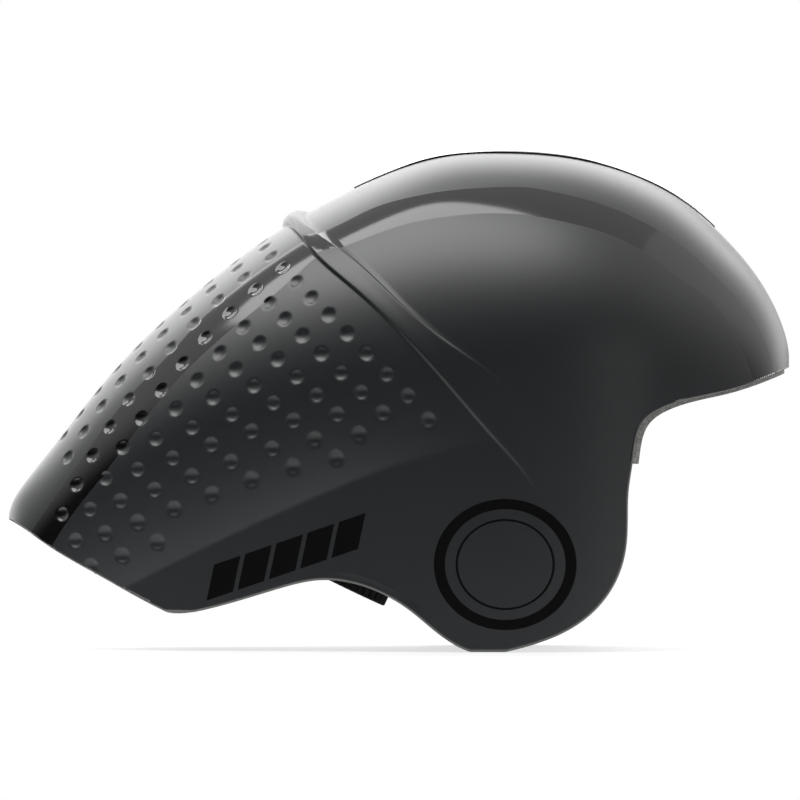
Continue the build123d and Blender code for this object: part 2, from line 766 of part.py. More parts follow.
def fit_arm(side):
    """One fit arm: a toothed rack in the housing, a lug beside it, and a band forward to the temple."""
    rack_side = -side
    back = pitch_radius + root_in
    path = [(arm_rear_x, arm_rear_z), (arm_bend_x, arm_bend_z), (arm_front_x, arm_front_z)]
    lug_start = housing_width / 2 + rack_travel + running_gap
    with BuildPart() as strip:
        with BuildSketch(Plane.XZ):
            with BuildLine():
                Spline(*path)
            trace(line_width=arm_tall)
        extrude(amount=-side * skin_width)
    with BuildPart() as arm:
        add(oval_band(ring_middle, arm_ring_length, arm_ring_width, arm_thick, 0, skin_height))
        add(strip.part, mode=Mode.INTERSECT)
        add(block((-skin_length, skin_length), (-lug_start, lug_start), (0, skin_height)),
            mode=Mode.SUBTRACT)
        with BuildSketch(dial_frame.offset(pocket_bottom + tooth_gap)):
            with Locations(((back - lug_rear) / 2 + rack_back / 2, side * (lug_start + lug_width / 2))):
                Rectangle(back + rack_back + lug_rear, lug_width)
            with Locations((rack_side * (back + rack_back / 2), side * (lug_start + rack_end) / 2)):
                Rectangle(rack_back, lug_start - rack_end)
            for i in range(rack_teeth):
                along = side * (i - rack_lead + 1 / 2) * tooth_pitch
                with BuildLine():
                    Polyline(*[(rack_side * d, along + w) for d, w in tooth(back, -1)], close=True)
                make_face()
        extrude(amount=rack_tall)
    return arm


def make_straps():
    """Side straps, their anchors, the dividers with lock levers, and the pins of the levers."""
    half_web = webbing_width / 2
    anchors = anchor_blocks(0)
    with BuildPart() as strap_anchors:
        add(anchors)
    write(strap_anchors, "strap_anchors")
    routes = {"front_strap": (front_anchor_x, strap_spread, strap_layer),
              "rear_strap": (rear_anchor_x, -strap_spread, -strap_layer)}
    for name, (anchor_x, spread, layer) in routes.items():
        low_x = divider_x + spread
        with BuildPart() as strap:
            with BuildSketch(Plane.XZ.offset(-strap_y - layer)):
                with BuildLine():
                    Polyline((low_x - half_web, strap_low), (low_x + half_web, strap_low),
                             (anchor_x + half_web, liner_parting_height),
                             (anchor_x - half_web, liner_parting_height),
                             close=True)
                make_face()
            extrude(amount=webbing_thick / 2, both=True)
        both_sides(strap, name)
    divider_high = divider_low + divider_tall
    inner_y = strap_y - divider_thick / 2
    outer_y = strap_y + divider_thick / 2
    slot_y = strap_layer + webbing_thick / 2 + divider_slot_clearance
    chin_y = webbing_thick / 2 + divider_slot_clearance
    steepness = (divider_high - strap_low) / (liner_parting_height - strap_low)
    widening = (divider_x - rear_anchor_x - strap_spread) * steepness
    half_slot = half_web + strap_spread + widening + 2 * divider_slot_clearance
    half_chin = half_web + divider_slot_clearance
    pin_y = inner_y - pad_gap - lever_knuckle_diameter / 2
    pin_z = divider_low + lever_knuckle_diameter
    half_lever = lever_length / 2
    lug_inner = half_lever + pad_gap
    lug_outer = lug_inner + lever_lug
    half_knuckle = lever_knuckle_diameter / 2
    with BuildPart() as divider:
        add(rounded_slab(Plane.XZ.offset(-inner_y), divider_length, divider_tall, divider_corner,
                         -divider_thick, (divider_x, (divider_low + divider_high) / 2)))
        add(block((divider_x - half_slot, divider_x + half_slot), (strap_y - slot_y, strap_y + slot_y),
                  (strap_low - divider_slot_clearance, divider_high + overrun)), mode=Mode.SUBTRACT)
        add(block((divider_x - half_chin, divider_x + half_chin), (strap_y - chin_y, strap_y + chin_y),
                  (0, chin_top + divider_slot_clearance)), mode=Mode.SUBTRACT)
        for low_x, high_x in ((-lug_outer, -lug_inner), (lug_inner, lug_outer)):
            add(block((divider_x + low_x, divider_x + high_x),
                      (pin_y - half_knuckle, inner_y + skin_wall / 2),
                      (pin_z - half_knuckle, pin_z + half_knuckle)))
        with BuildSketch(Plane.YZ.offset(divider_x - lug_outer)):
            with Locations((pin_y, pin_z)):
                Circle(lever_pin_diameter / 2 + shaft_clearance)
        extrude(amount=2 * lug_outer, mode=Mode.SUBTRACT)
    both_sides(divider, "divider")
    with BuildPart() as lever:
        with BuildSketch(Plane.YZ.offset(divider_x - half_lever)):
            with Locations((pin_y, pin_z)):
                Circle(half_knuckle)
            with Locations((pin_y + half_knuckle - lever_thick / 2, pin_z + lever_tall / 2)):
                Rectangle(lever_thick, lever_tall)
            with Locations((pin_y, pin_z)):
                Circle(lever_pin_diameter / 2 + shaft_clearance, mode=Mode.SUBTRACT)
        extrude(amount=lever_length)
    both_sides(lever, "lock_lever")
    with BuildPart() as lever_pins:
        with BuildSketch(Plane.YZ.offset(divider_x - lug_outer)):
            with GridLocations(2 * pin_y, 0, 2, 1):
                with Locations((0, pin_z)):
                    Circle(lever_pin_diameter / 2)
        extrude(amount=2 * lug_outer)
    write(lever_pins, "lever_pins")


def chin_strap(side, end_y):
    """Webbing from a divider down to the chin and along it to the buckle."""
    chin_rise = divider_low - chin_low
    with BuildPart() as strap:
        with BuildSketch(Plane.YZ.offset(divider_x - webbing_width / 2)):
            with BuildLine():
                Line((side * strap_y, chin_top), (side * strap_y, divider_low))
                Bezier((side * strap_y, divider_low),
                       (side * strap_y, chin_low + chin_rise * chin_hang_share),
                       (side * (chin_flat + strap_y * chin_hang_share), chin_low),
                       (side * chin_flat, chin_low))
                Line((side * chin_flat, chin_low), (end_y, chin_low))
            trace(line_width=webbing_thick)
        extrude(amount=webbing_width)
    return strap


def make_buckle():
    """Chin straps, the buckle's two halves, the strap keeper and the chin pad."""
    half_web = webbing_width / 2 + plug_gap
    half_slot = webbing_thick / 2 + pad_gap
    half_width = buckle_width / 2
    half_thick = buckle_thick / 2
    write(chin_strap(1, plug_front - strap_reach), "left_chin_strap")
    write(chin_strap(-1, socket_rear + strap_reach), "right_chin_strap")
    socket_plane = Plane.XY.offset(chin_low - half_thick)
    room = prong_length + running_gap
    half_prong = prong_thick / 2 + pad_gap
    with BuildPart() as buckle_socket:
        add(rounded_slab(socket_plane, buckle_width, socket_front - socket_rear, buckle_corner, buckle_thick,
                         (divider_x, (socket_front + socket_rear) / 2)))
        add(block((divider_x - half_width + socket_wall, divider_x + half_width - socket_wall),
                  (socket_front - room, socket_front), (chin_low - half_prong, chin_low + half_prong)),
            mode=Mode.SUBTRACT)
        add(block((divider_x - half_width, divider_x + half_width),
                  (socket_front - room, socket_front - room / 2),
                  (chin_low - half_prong, chin_low + half_prong)), mode=Mode.SUBTRACT)
        add(block((divider_x - half_web, divider_x + half_web),
                  (socket_rear, socket_rear + strap_reach + pad_gap),
                  (chin_low - half_slot, chin_low + half_slot)), mode=Mode.SUBTRACT)
    write(buckle_socket, "buckle_socket")
    plug_rear = socket_front + plug_gap
    half_tongue = prong_thick / 2
    with BuildPart() as buckle_plug:
        add(rounded_slab(socket_plane, buckle_width, plug_front - plug_rear, buckle_corner, buckle_thick,
                         (divider_x, (plug_front + plug_rear) / 2)))
        with Locations((divider_x, plug_rear - prong_length / 2 + buckle_corner / 2, chin_low)):
            with GridLocations(prong_spacing, 0, 2, 1):
                Box(prong_width, prong_length + buckle_corner, prong_thick)
        add(block((divider_x - half_web, divider_x + half_web), (plug_front - plug_pocket, plug_front),
                  (chin_low - half_slot, chin_low + half_slot)), mode=Mode.SUBTRACT)
    write(buckle_plug, "buckle_plug")
    sleeves = {"strap_keeper": (keeper_y, keeper_width, keeper_wall, keeper_wall),
               "chin_pad": (-chin_pad_y, chin_pad_length, chin_pad_thick / 2 - half_slot, chin_pad_extra)}
    for name, (middle_y, length, wall, extra) in sleeves.items():
        outer_x = half_web + extra
        outer_z = half_slot + wall
        with BuildPart() as sleeve:
            with BuildSketch(Plane.XZ.offset(-middle_y - length / 2)):
                with Locations((divider_x, chin_low)):
                    RectangleRounded(2 * outer_x, 2 * outer_z, outer_z / 2)
                    Rectangle(2 * half_web, 2 * half_slot, mode=Mode.SUBTRACT)
            extrude(amount=length)
        write(sleeve, name)


def main():
    """Make every piece."""
    os.makedirs("parts", exist_ok=True)
    make_skin()
    make_liners()
    make_pads()
    make_halo()
    make_dial()
    make_cradle(make_housing())
    write(fit_arm(1), "left_fit_arm")
    write(fit_arm(-1), "right_fit_arm")
    make_straps()
    make_buckle()


if __name__ == "__main__":
    main()
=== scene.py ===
"""Aero time trial helmet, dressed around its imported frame: skin, pads, webbing, fittings and studio.

The nose points to +X and the ear covers stand on the floor. Left is +Y. Sizes are in millimetres and
turn to metres where a mesh is made.
"""

import json
import math
from functools import partial

import bmesh
import bpy
import numpy as np
from bpy.props import FloatProperty, IntProperty, PointerProperty, StringProperty
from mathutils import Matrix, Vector


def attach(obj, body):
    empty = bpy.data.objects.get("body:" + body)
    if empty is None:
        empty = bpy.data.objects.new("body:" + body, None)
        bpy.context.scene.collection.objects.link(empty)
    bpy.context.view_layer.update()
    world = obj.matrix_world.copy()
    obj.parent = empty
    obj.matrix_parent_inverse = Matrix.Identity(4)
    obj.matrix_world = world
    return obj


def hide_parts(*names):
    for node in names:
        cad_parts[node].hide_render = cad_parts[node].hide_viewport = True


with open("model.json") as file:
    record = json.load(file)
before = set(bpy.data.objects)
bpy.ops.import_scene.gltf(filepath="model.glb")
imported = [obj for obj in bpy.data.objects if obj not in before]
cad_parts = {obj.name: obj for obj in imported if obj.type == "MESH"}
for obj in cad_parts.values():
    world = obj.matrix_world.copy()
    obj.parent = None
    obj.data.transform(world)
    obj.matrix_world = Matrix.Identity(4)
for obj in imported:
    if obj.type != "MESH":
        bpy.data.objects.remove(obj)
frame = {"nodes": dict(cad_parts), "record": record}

bl_info = {
    "name": "Aero Time Trial Helmet",
    "version": (1, 0, 0),
    "blender": (4, 5, 0),
    "location": "View3D > Sidebar > Helmet",
    "description": "Dresses the packed helmet with its skin, pads, webbing, fittings and studio",
    "category": "Object",
}

mm = 0.001
tiny = 1e-9

# Settings of a Mix node for colours, and of a Map Range node that eases in and out
rgba = {"output": 2, "data_type": "RGBA"}
smoothstep = {"interpolation_type": "SMOOTHSTEP"}

# Form of the skin, the same lines as the solid's
skin_length, skin_height, skin_width, skin_wall = 400.0, 255.0, 192.0, 1.8
crown_fullness_share, tail_tuck_share = 0.56, 0.05
tail_flare_angle, ear_flare_angle = 5.0, 2.0
change_from, change_to, floor_depth = -60.0, 60.0, 20.0
crest_shares = [
    (-0.5, 0.262), (-0.489, 0.312), (-0.447, 0.398), (-0.358, 0.571), (-0.255, 0.722), (-0.1525, 0.841),
    (-0.05, 0.929), (0.052, 0.989), (0.13, 1.0), (0.206, 0.993), (0.309, 0.947), (0.36, 0.903),
    (0.4115, 0.8345), (0.463, 0.738), (0.489, 0.659), (0.5, 0.585),
]
plan_shares = [
    (-0.5, 0.0), (-0.495, 0.150), (-0.475, 0.280), (-0.43, 0.410), (-0.355, 0.540), (-0.27, 0.665),
    (-0.17, 0.800), (-0.07, 0.910), (0.04, 0.980), (0.155, 1.0), (0.2875, 0.925), (0.3875, 0.735),
    (0.455, 0.490), (0.48, 0.335), (0.495, 0.165), (0.5, 0.0),
]
widest_shares = [(-0.5, 0.18), (-0.375, 0.29), (-0.25, 0.41), (-0.125, 0.49), (0.15, 0.555), (0.5, 0.555)]
crease_shares = [
    (-0.5, -0.02), (-0.32, 0.147), (-0.1975, 0.241), (-0.0935, 0.314), (0.077, 0.406), (0.155, 0.426),
    (0.5, 0.42),
]
tail_hem_shares = [
    (-0.55, 0.275), (-0.5, 0.259), (-0.4475, 0.207), (-0.383, 0.149), (-0.332, 0.1047), (-0.2975, 0.0775),
]
skirt_hem_shares = [
    (-0.262, 0.0765), (-0.2295, 0.0886), (-0.152, 0.1247), (-0.101, 0.1415), (-0.051, 0.132),
    (0.0128, 0.0824), (0.0525, 0.032), (0.09, 0.0),
]
brow_hem_shares = [
    (0.135, 0.0), (0.181, 0.020), (0.232, 0.0604), (0.274, 0.137), (0.288, 0.210), (0.291, 0.3227),
    (0.2958, 0.374), (0.31, 0.456), (0.3395, 0.486), (0.4115, 0.515), (0.4885, 0.557), (0.55, 0.600),
]

# Belt over the skin: its two edges in the side view, run on to the hem where it has faded
belt_front_shares = [
    (-0.1155, 0.875), (-0.1065, 0.8365), (-0.0538, 0.776), (0.0577, 0.6216), (0.142, 0.519), (0.195, 0.426),
    (0.2475, 0.366),
]
belt_rear_shares = [
    (-0.151, 0.842), (-0.1257, 0.8224), (-0.1025, 0.780), (-0.0538, 0.714), (0.077, 0.499),
    (0.1168, 0.4263), (0.1615, 0.344), (0.2, 0.23), (0.222, 0.12), (0.232, 0.03),
]
belt_front_end = 116.0
# Belt's height against the way down from the crest, and its shape from the rear edge to the front edge:
# at the crest, down the side, and low on the side
belt_fade = [
    (0, 4.9), (20, 4.2), (40, 3.2), (60, 2.5), (110, 1.6), (150, 1.2), (185, 0.8), (210, 0.45), (228, 0.0),
    (400, 0.0),
]
crest_shape = [
    (0.0, 0.0), (0.03, 0.03), (0.06, 0.1), (0.1, 0.26), (0.14, 0.44), (0.2, 0.65), (0.27, 0.81),
    (0.35, 0.92), (0.43, 0.98), (0.5, 1.0), (0.62, 0.95), (0.74, 0.79), (0.83, 0.56), (0.9, 0.34),
    (0.95, 0.16), (1.0, 0.0),
]
side_shape = [
    (0.0, 0.0), (0.015, 0.2), (0.04, 0.7), (0.07, 0.93), (0.11, 1.0), (0.2, 0.97), (0.35, 0.88),
    (0.5, 0.76), (0.65, 0.65), (0.8, 0.57), (0.89, 0.52), (0.93, 0.47), (0.95, 0.38), (0.97, 0.2),
    (0.99, 0.04), (1.0, 0.0),
]
low_shape = side_shape[:5] + [(0.2, 0.92), (0.5, 0.5), (0.8, 0.13), (1.0, 0.0)]
crest_shape_from, crest_shape_to = 14.0, 46.0
low_shape_from, low_shape_to = 140.0, 190.0
# Rows of the skin's mesh: most of them above the dimples' end, and their crowding along the belt's front
row_shares = [(0.0, 0.0), (0.8, 0.7), (1.0, 1.0)]
front_row_share = 0.33

# Gloss stripe in the side view: upper and lower edge from the tail to the brow
stripe_top_shares = [
    (-0.472, 0.231), (-0.433, 0.318), (-0.389, 0.416), (-0.34, 0.513), (-0.291, 0.593), (-0.246, 0.67),
    (-0.159, 0.778), (-0.112, 0.824), (-0.069, 0.855), (-0.0385, 0.879), (0.0115, 0.903), (0.0628, 0.917),
    (0.1128, 0.923), (0.1641, 0.923), (0.2064, 0.911), (0.259, 0.889), (0.3167, 0.849), (0.3551, 0.8125),
    (0.3974, 0.754), (0.4295, 0.702), (0.4577, 0.6455), (0.4718, 0.595), (0.482, 0.53),
]
stripe_low_shares = [
    (-0.4423, 0.207), (-0.4128, 0.278), (-0.3744, 0.354), (-0.3346, 0.438), (-0.2821, 0.539),
    (-0.2167, 0.6355), (-0.1269, 0.754), (-0.1026, 0.786), (-0.0718, 0.8045), (-0.0385, 0.8245),
    (0.0115, 0.851), (0.0628, 0.865), (0.1128, 0.871), (0.1641, 0.867), (0.2064, 0.855), (0.2487, 0.8385),
    (0.2962, 0.808), (0.3295, 0.774), (0.3641, 0.734), (0.3974, 0.696), (0.4269, 0.627), (0.4487, 0.55),
    (0.456, 0.49),
]

# Dimples behind the belt: rows that run with the stripe, lines that run with the belt
dimple_width, dimple_depth = 7.4, 1.25
dimple_row_first, dimple_row_step = 8.0, 16.0
dimple_line_places = [-69.9, -68.6, -65.0, -59.1, -52.4, -44.6, -35.6, -26.2, -16.4, -6.2, 4.6, 14.9]
dimple_line_count = 12
# Step from line to line, what each line takes off it, its share at the first row and less for each row
dimple_line_step, dimple_line_closing = 14.2, 0.36
dimple_line_share, dimple_row_closing = 1.03, 0.011
# How the rows spread towards the tail, where the dimples end, and their clearance above the crease
dimple_row_spread, dimple_row_bend = 0.012, 0.0042
dimple_end, dimple_clearance = -172.0, 14.0
dimple_roundness = 0.75

# Plain marks on the skin: a double ring on the ear cover and five slanted bars on the skirt
ring_x, ring_z, ring_radius, ring_width, ring_squash = 53.7, 44.2, 36.1, 5.6, 1.09
thin_ring_radius, thin_ring_width = 24.5, 1.2
bars_x, bars_z, bars_angle, bars_length, bars_height = -99.0, 25.0, 19.0, 84.0, 16.0
bars_count, bars_gap, bars_lean = 5, 2.6, 0.6

# Flange pressed along the arch over the fit dial
flange_height, flange_rise, flange_from, flange_to = 4.6, 0.5, -40.0, 14.0
flange_run_out, flange_step = 14, 0.8

# Hem rolled over the skin's edge: its turns in degrees, and how far its inner face runs on
hem_turns, hem_returns = [25, 50, 75, 90, 105, 130, 155, 180], (3.0, 8.0)

# Pads: how far they start inside their solids, how far a point may swell, and steps of cloth
pad_shrink, pad_swell, pad_steps = 0.45, 1.1, 20

# Webbing: its size, its layers at the divider, and where it runs
webbing_width, webbing_thick, webbing_layer = 16.0, 1.4, 0.9
strap_y, strap_low, strap_high = 75.5, 48.0, 95.0
front_strap_x, rear_strap_x = (62.0, 98.0), (54.0, 20.0)
chin_x, chin_z, chin_top, chin_straight = 58.0, 12.5, 39.0, 2.5
chin_bend, chin_flat = ((75.5, 34.0), (75.5, 20.0), (64.4, 12.5), (38.0, 12.5)), 37.0
left_chin_end, right_chin_end = 19.0, -15.0

# Studio: floor rings in millimetres just under the feet, and the camera in metres
floor_rings, floor_spokes, floor_z = [0.0, 150.0, 300.0, 500.0, 800.0, 1600.0, 4000.0, 12000.0], 96, -0.2
camera_lens, camera_sensor, camera_tilt = 600.0, 36.0, 0.1
camera_x, camera_z, framed_width = 0.0005, 0.1272, 0.4103
# Lamps: name, place, aim, width and height in metres, and power in watts
softboxes = (
    ("overhead", (-0.45, -0.4, 1.4), (-0.2, 0.0, 0.1), 1.9, 1.0, 22.0),
    ("rear", (-0.1, 1.0, 1.1), (0.0, 0.0, 0.15), 3.2, 0.9, 27.0),
    ("backdrop", (-0.6, 1.6, 0.45), (-0.1, 0.0, 0.15), 2.6, 0.8, 12.0),
    ("brow", (1.1, 1.15, 0.5), (0.15, 0.0, 0.15), 0.7, 0.9, 3.6),
    ("nose", (1.3, 0.0, 0.6), (0.1, 0.0, 0.15), 2.2, 1.8, 3.4),
    ("front", (1.1, -1.7, 0.25), (0.1, 0.0, 0.1), 0.8, 0.8, 1.8),
)


class HelmetSizes(bpy.types.PropertyGroup):
    """Sizes that a user would change."""

    skin_columns: IntProperty(name="Skin columns", default=330, min=60, max=600,
                              description="Faces along the tail, from its tip to the belt")
    skin_rows: IntProperty(name="Skin rows", description="Faces from the crest down to the hem on each side",
                           default=250, min=40, max=400)
    dimple_depth: FloatProperty(name="Dimple depth", description="Depth of the dimples behind the belt",
                                default=dimple_depth * mm, unit="LENGTH")
    pad_voxel: FloatProperty(name="Pad voxel", description="Face size of the pads before they are puffed up",
                             default=0.0016, min=0.001, unit="LENGTH")
    pad_pressure: FloatProperty(name="Pad pressure", description="Pressure inside each pad while it settles",
                                default=4.0, min=0.0)


class HelmetColours(bpy.types.PropertyGroup):
    """Colours, as sRGB hex values."""

    skin: StringProperty(name="Skin", description="Matt lacquer of the skin", default="#16181A")
    # The cut edge colour is partly the grey of the trimmed edge, partly a painted highlight for the floor's
    # reflection on the rolled hem
    edge: StringProperty(name="Cut edge", description="Bare trimmed edge of the skin", default="#6C6D69")
    gloss: StringProperty(name="Stripe", description="Gloss lacquer of stripes and marks", default="#0B0B0C")
    foam: StringProperty(name="Foam", description="Expanded polystyrene liners", default="#9A9B97")
    cloth: StringProperty(name="Pad cloth", description="Knitted cover of the pads", default="#26282A")
    webbing: StringProperty(name="Webbing", description="Woven straps", default="#141517")
    nylon: StringProperty(name="Nylon", description="Moulded cradle, arms and rail", default="#191A1C")
    acetal: StringProperty(name="Acetal", description="Moulded buckle and dividers", default="#0F1011")
    rubber: StringProperty(name="Rubber", description="Grip of the fit dial", default="#101112")
    steel: StringProperty(name="Steel", description="Screws and lever pins", default="#B4B6B8")
    floor: StringProperty(name="Floor", description="Studio floor", default="#E9EAEB")


def linear(text):
    """An sRGB hex value as a linear colour."""
    shares = [int(text[i:i + 2], 16) / 255 for i in (1, 3, 5)]
    return (*[c / 12.92 if c <= 0.04045 else ((c + 0.055) / 1.055) ** 2.4 for c in shares], 1.0)


def shade(colour, factor):
    """A linear colour made lighter or darker."""
    return (*[factor * c for c in colour[:3]], 1.0)


def add_node(tree, kind, inputs=None, output=0, **settings):
    """Add a node with its settings and links, and give one of its outputs.

    The kind is Blender's name without ShaderNode. An input is a value, or the output that it is linked to.
    """
    made = tree.nodes.new("ShaderNode" + kind)
    for name, value in settings.items():
        setattr(made, name, value)
    for name, value in (inputs or {}).items():
        if isinstance(value, bpy.types.NodeSocket):
            tree.links.new(value, made.inputs[name])
        else:
            made.inputs[name].default_value = value
    return made.outputs[output] if len(made.outputs) else None


def new_material(name):
    """A material, the function that adds its nodes, and the place in millimetres on its piece."""
    made = bpy.data.materials.new(name)
    made.use_nodes = True
    made.node_tree.nodes.clear()
    add = partial(add_node, made.node_tree)
    here = add("TexCoord", output="Object")
    return made, add, add("VectorMath", {0: here, "Scale": 1 / mm}, operation="SCALE")


def inside(add, value, middle, half):
    """How far a value is inside a span, below zero outside it."""
    off = add("Math", {0: value, 1: middle}, operation="SUBTRACT")
    off = add("Math", {0: off}, operation="ABSOLUTE")
    return add("Math", {0: half, 1: off}, operation="SUBTRACT")


def gloss_marks(add, place):
    """Distance in millimetres into the nearest gloss stripe, ring or bar, below zero outside them."""
    edges = [add("Attribute", output="Fac", attribute_name=name) for name in ("stripe_top", "stripe_low")]
    found = [add("Math", {0: edges[0], 1: edges[1]}, operation="MINIMUM")]
    side = add("VectorMath", {0: place, 1: (1.0, 0.0, 1.0)}, operation="MULTIPLY")
    round_ring = add("VectorMath", {0: side, 1: (1.0, 0.0, ring_squash)}, operation="MULTIPLY")
    out = add("VectorMath", {0: round_ring, 1: (ring_x, 0.0, ring_z * ring_squash)},
              operation="DISTANCE", output="Value")
    for radius, width in ((ring_radius - ring_width / 2, ring_width), (thin_ring_radius, thin_ring_width)):
        found.append(inside(add, out, radius, width / 2))
    start = add("VectorMath", {0: side, 1: (bars_x, 0.0, bars_z)}, operation="SUBTRACT")
    sine, cosine = math.sin(math.radians(bars_angle)), math.cos(math.radians(bars_angle))
    along = (cosine + bars_lean * sine, 0.0, sine - bars_lean * cosine)
    run, rise = [add("VectorMath", {0: start, 1: way}, operation="DOT_PRODUCT", output="Value")
                 for way in (along, (-sine, 0.0, cosine))]
    bars = add("Math", {0: run, 1: bars_length / bars_count / 2}, operation="PINGPONG")
    bars = add("Math", {0: bars, 1: bars_gap / 2}, operation="SUBTRACT")
    for value, size in ((run, bars_length), (rise, bars_height)):
        bars = add("Math", {0: bars, 1: inside(add, value, size / 2, size / 2)}, operation="MINIMUM")
    for edge in (bars, *found[1:]):
        found[0] = add("Math", {0: found[0], 1: edge}, operation="MAXIMUM")
    return found[0]


def lacquered_polycarbonate(colours):
    """Thermoformed polycarbonate under matt lacquer, with gloss lacquer where the stripes and marks are.

    The matt lacquer gives a soft wide sheen with a fine orange peel, and paler rolled hems: partly the grey
    of the trimmed edge, partly a painted highlight for the floor's reflection on them; the gloss one reflects
    the studio.
    """
    made, add, place = new_material("lacquered_polycarbonate")
    gloss = add("MapRange", {"Value": gloss_marks(add, place), 1: -0.12, 2: 0.12}, **smoothstep)
    matt = linear(colours.skin)
    # Clouds 45 mm wide, orange peel about 1.6 mm across, and overspray specks of 0.5 mm
    cloud, peel, speck = [add("TexNoise", {"Vector": place, "Scale": 1 / size, "Detail": detail})
                          for size, detail in ((45, 3.0), (1.6, 2.0), (0.5, 1.0))]
    colour = add("Mix", {0: cloud, 6: shade(matt, 0.85), 7: shade(matt, 1.2)}, **rgba)
    # Paler rolled hem: partly the grey of the trimmed edge, partly a painted highlight that stands in for the
    # floor's reflection on it
    hem = add("Attribute", output="Fac", attribute_name="hem_edge")
    cut_edge_and_highlight = add("MapRange", {"Value": hem, 1: 0.8, 2: 0.1, 3: 0.0, 4: 0.8})
    colour = add("Mix", {0: gloss, 6: colour, 7: linear(colours.gloss)}, **rgba)
    colour = add("Mix", {0: cut_edge_and_highlight, 6: colour, 7: linear(colours.edge)}, **rgba)
    rough = add("MapRange", {"Value": speck, 1: 0.3, 2: 0.7, 3: 0.37, 4: 0.43})
    rough = add("Mix", {0: gloss, 2: rough, 3: 0.1})
    level = add("MapRange", {"Value": gloss, 3: 0.8, 4: 0.1})
    bump = add("Bump", {"Height": peel, "Distance": 0.02 * mm, "Strength": level})
    shader = add("BsdfPrincipled", {"Base Color": colour, "Roughness": rough, "Normal": bump, "IOR": 1.585})
    add("OutputMaterial", {"Surface": shader})
    return made


def mottled_surface(name, text, shades, roughness, cloud, grain, relief, sockets):
    """A surface whose clouds vary its shade and roughness, under a fine grain in relief.

    Clouds and grain are a size in millimetres and a detail, and the relief is a depth and a strength.
    """
    made, add, place = new_material(name)
    base = linear(text)
    clouds, grains = [add("TexNoise", {"Vector": place, "Scale": 1 / size, "Detail": detail})
                      for size, detail in (cloud, grain)]
    colour = add("Mix", {0: clouds, 6: shade(base, shades[0]), 7: shade(base, shades[1])}, **rgba)
    rough = add("MapRange", {"Value": clouds, 1: 0.3, 2: 0.7, 3: roughness[0], 4: roughness[1]})
    bump = add("Bump", {"Height": grains, "Distance": relief[0] * mm, "Strength": relief[1]})
    shader = add("BsdfPrincipled", {"Base Color": colour, "Roughness": rough, "Normal": bump, **sockets})
    add("OutputMaterial", {"Surface": shader})
    return made


def expanded_polystyrene(colours):
    """Expanded polystyrene, steam moulded: fused beads 3 mm wide, each a little lighter or darker."""
    made, add, place = new_material("expanded_polystyrene")
    bead = linear(colours.foam)
    beads = add("TexVoronoi", {"Vector": place, "Scale": 1 / 3.0}, "Color")
    tint = add("SeparateColor", {"Color": beads})
    seams = add("TexVoronoi", {"Vector": place, "Scale": 1 / 3.0}, "Distance", feature="DISTANCE_TO_EDGE")
    grain = add("TexNoise", {"Vector": place, "Scale": 1 / 0.6, "Detail": 3.0})
    colour = add("Mix", {0: tint, 6: shade(bead, 0.85), 7: shade(bead, 1.12)}, **rgba)
    seam = add("MapRange", {"Value": seams, 1: 0.0, 2: 0.12})
    colour = add("Mix", {0: seam, 6: shade(bead, 0.55), 7: colour}, **rgba)
    dome = add("MapRange", {"Value": seams, 1: 0.0, 2: 0.3}, **smoothstep)
    height = add("Math", {0: dome, 1: grain}, operation="ADD")
    bump = add("Bump", {"Height": height, "Distance": 0.12 * mm, "Strength": 0.8})
    shader = add("BsdfPrincipled", {"Base Color": colour, "Roughness": 0.72, "Normal": bump, "IOR": 1.45})
    add("OutputMaterial", {"Surface": shader})
    return made


def knitted_polyester(colours):
    """Brushed polyester knit over foam: rows of loops about 1 mm apart, soft with a pale nap.

    The loops are drawn a quarter coarser than real ones so that they show.
    """
    made, add, place = new_material("knitted_polyester")
    yarn = linear(colours.cloth)
    rows = add("TexWave",
               {"Vector": place, "Scale": 1 / 5.6, "Distortion": 1.2, "Detail": 1.0, "Detail Scale": 1.5},
               "Fac", bands_direction="DIAGONAL")
    wales = add("TexVoronoi", {"Vector": place, "Scale": 1 / 1.2}, "Distance")
    nap = add("TexNoise", {"Vector": place, "Scale": 1 / 3.5, "Detail": 5.0})
    loop = add("Math", {0: rows, 1: wales}, operation="MULTIPLY")
    colour = add("Mix", {0: loop, 6: shade(yarn, 1.5), 7: shade(yarn, 0.45)}, **rgba)
    brushed = add("MapRange", {"Value": nap, 1: 0.45, 2: 0.75, 3: 0.0, 4: 0.35})
    colour = add("Mix", {0: brushed, 6: colour, 7: shade(yarn, 2.2)}, **rgba)
    bump = add("Bump", {"Height": loop, "Distance": 0.25 * mm, "Strength": 0.7}, invert=True)
    shader = add("BsdfPrincipled",
                 {"Base Color": colour, "Roughness": 0.85, "Normal": bump, "Sheen Weight": 0.35,
                  "Sheen Roughness": 0.4, "IOR": 1.45})
    add("OutputMaterial", {"Surface": shader})
    return made


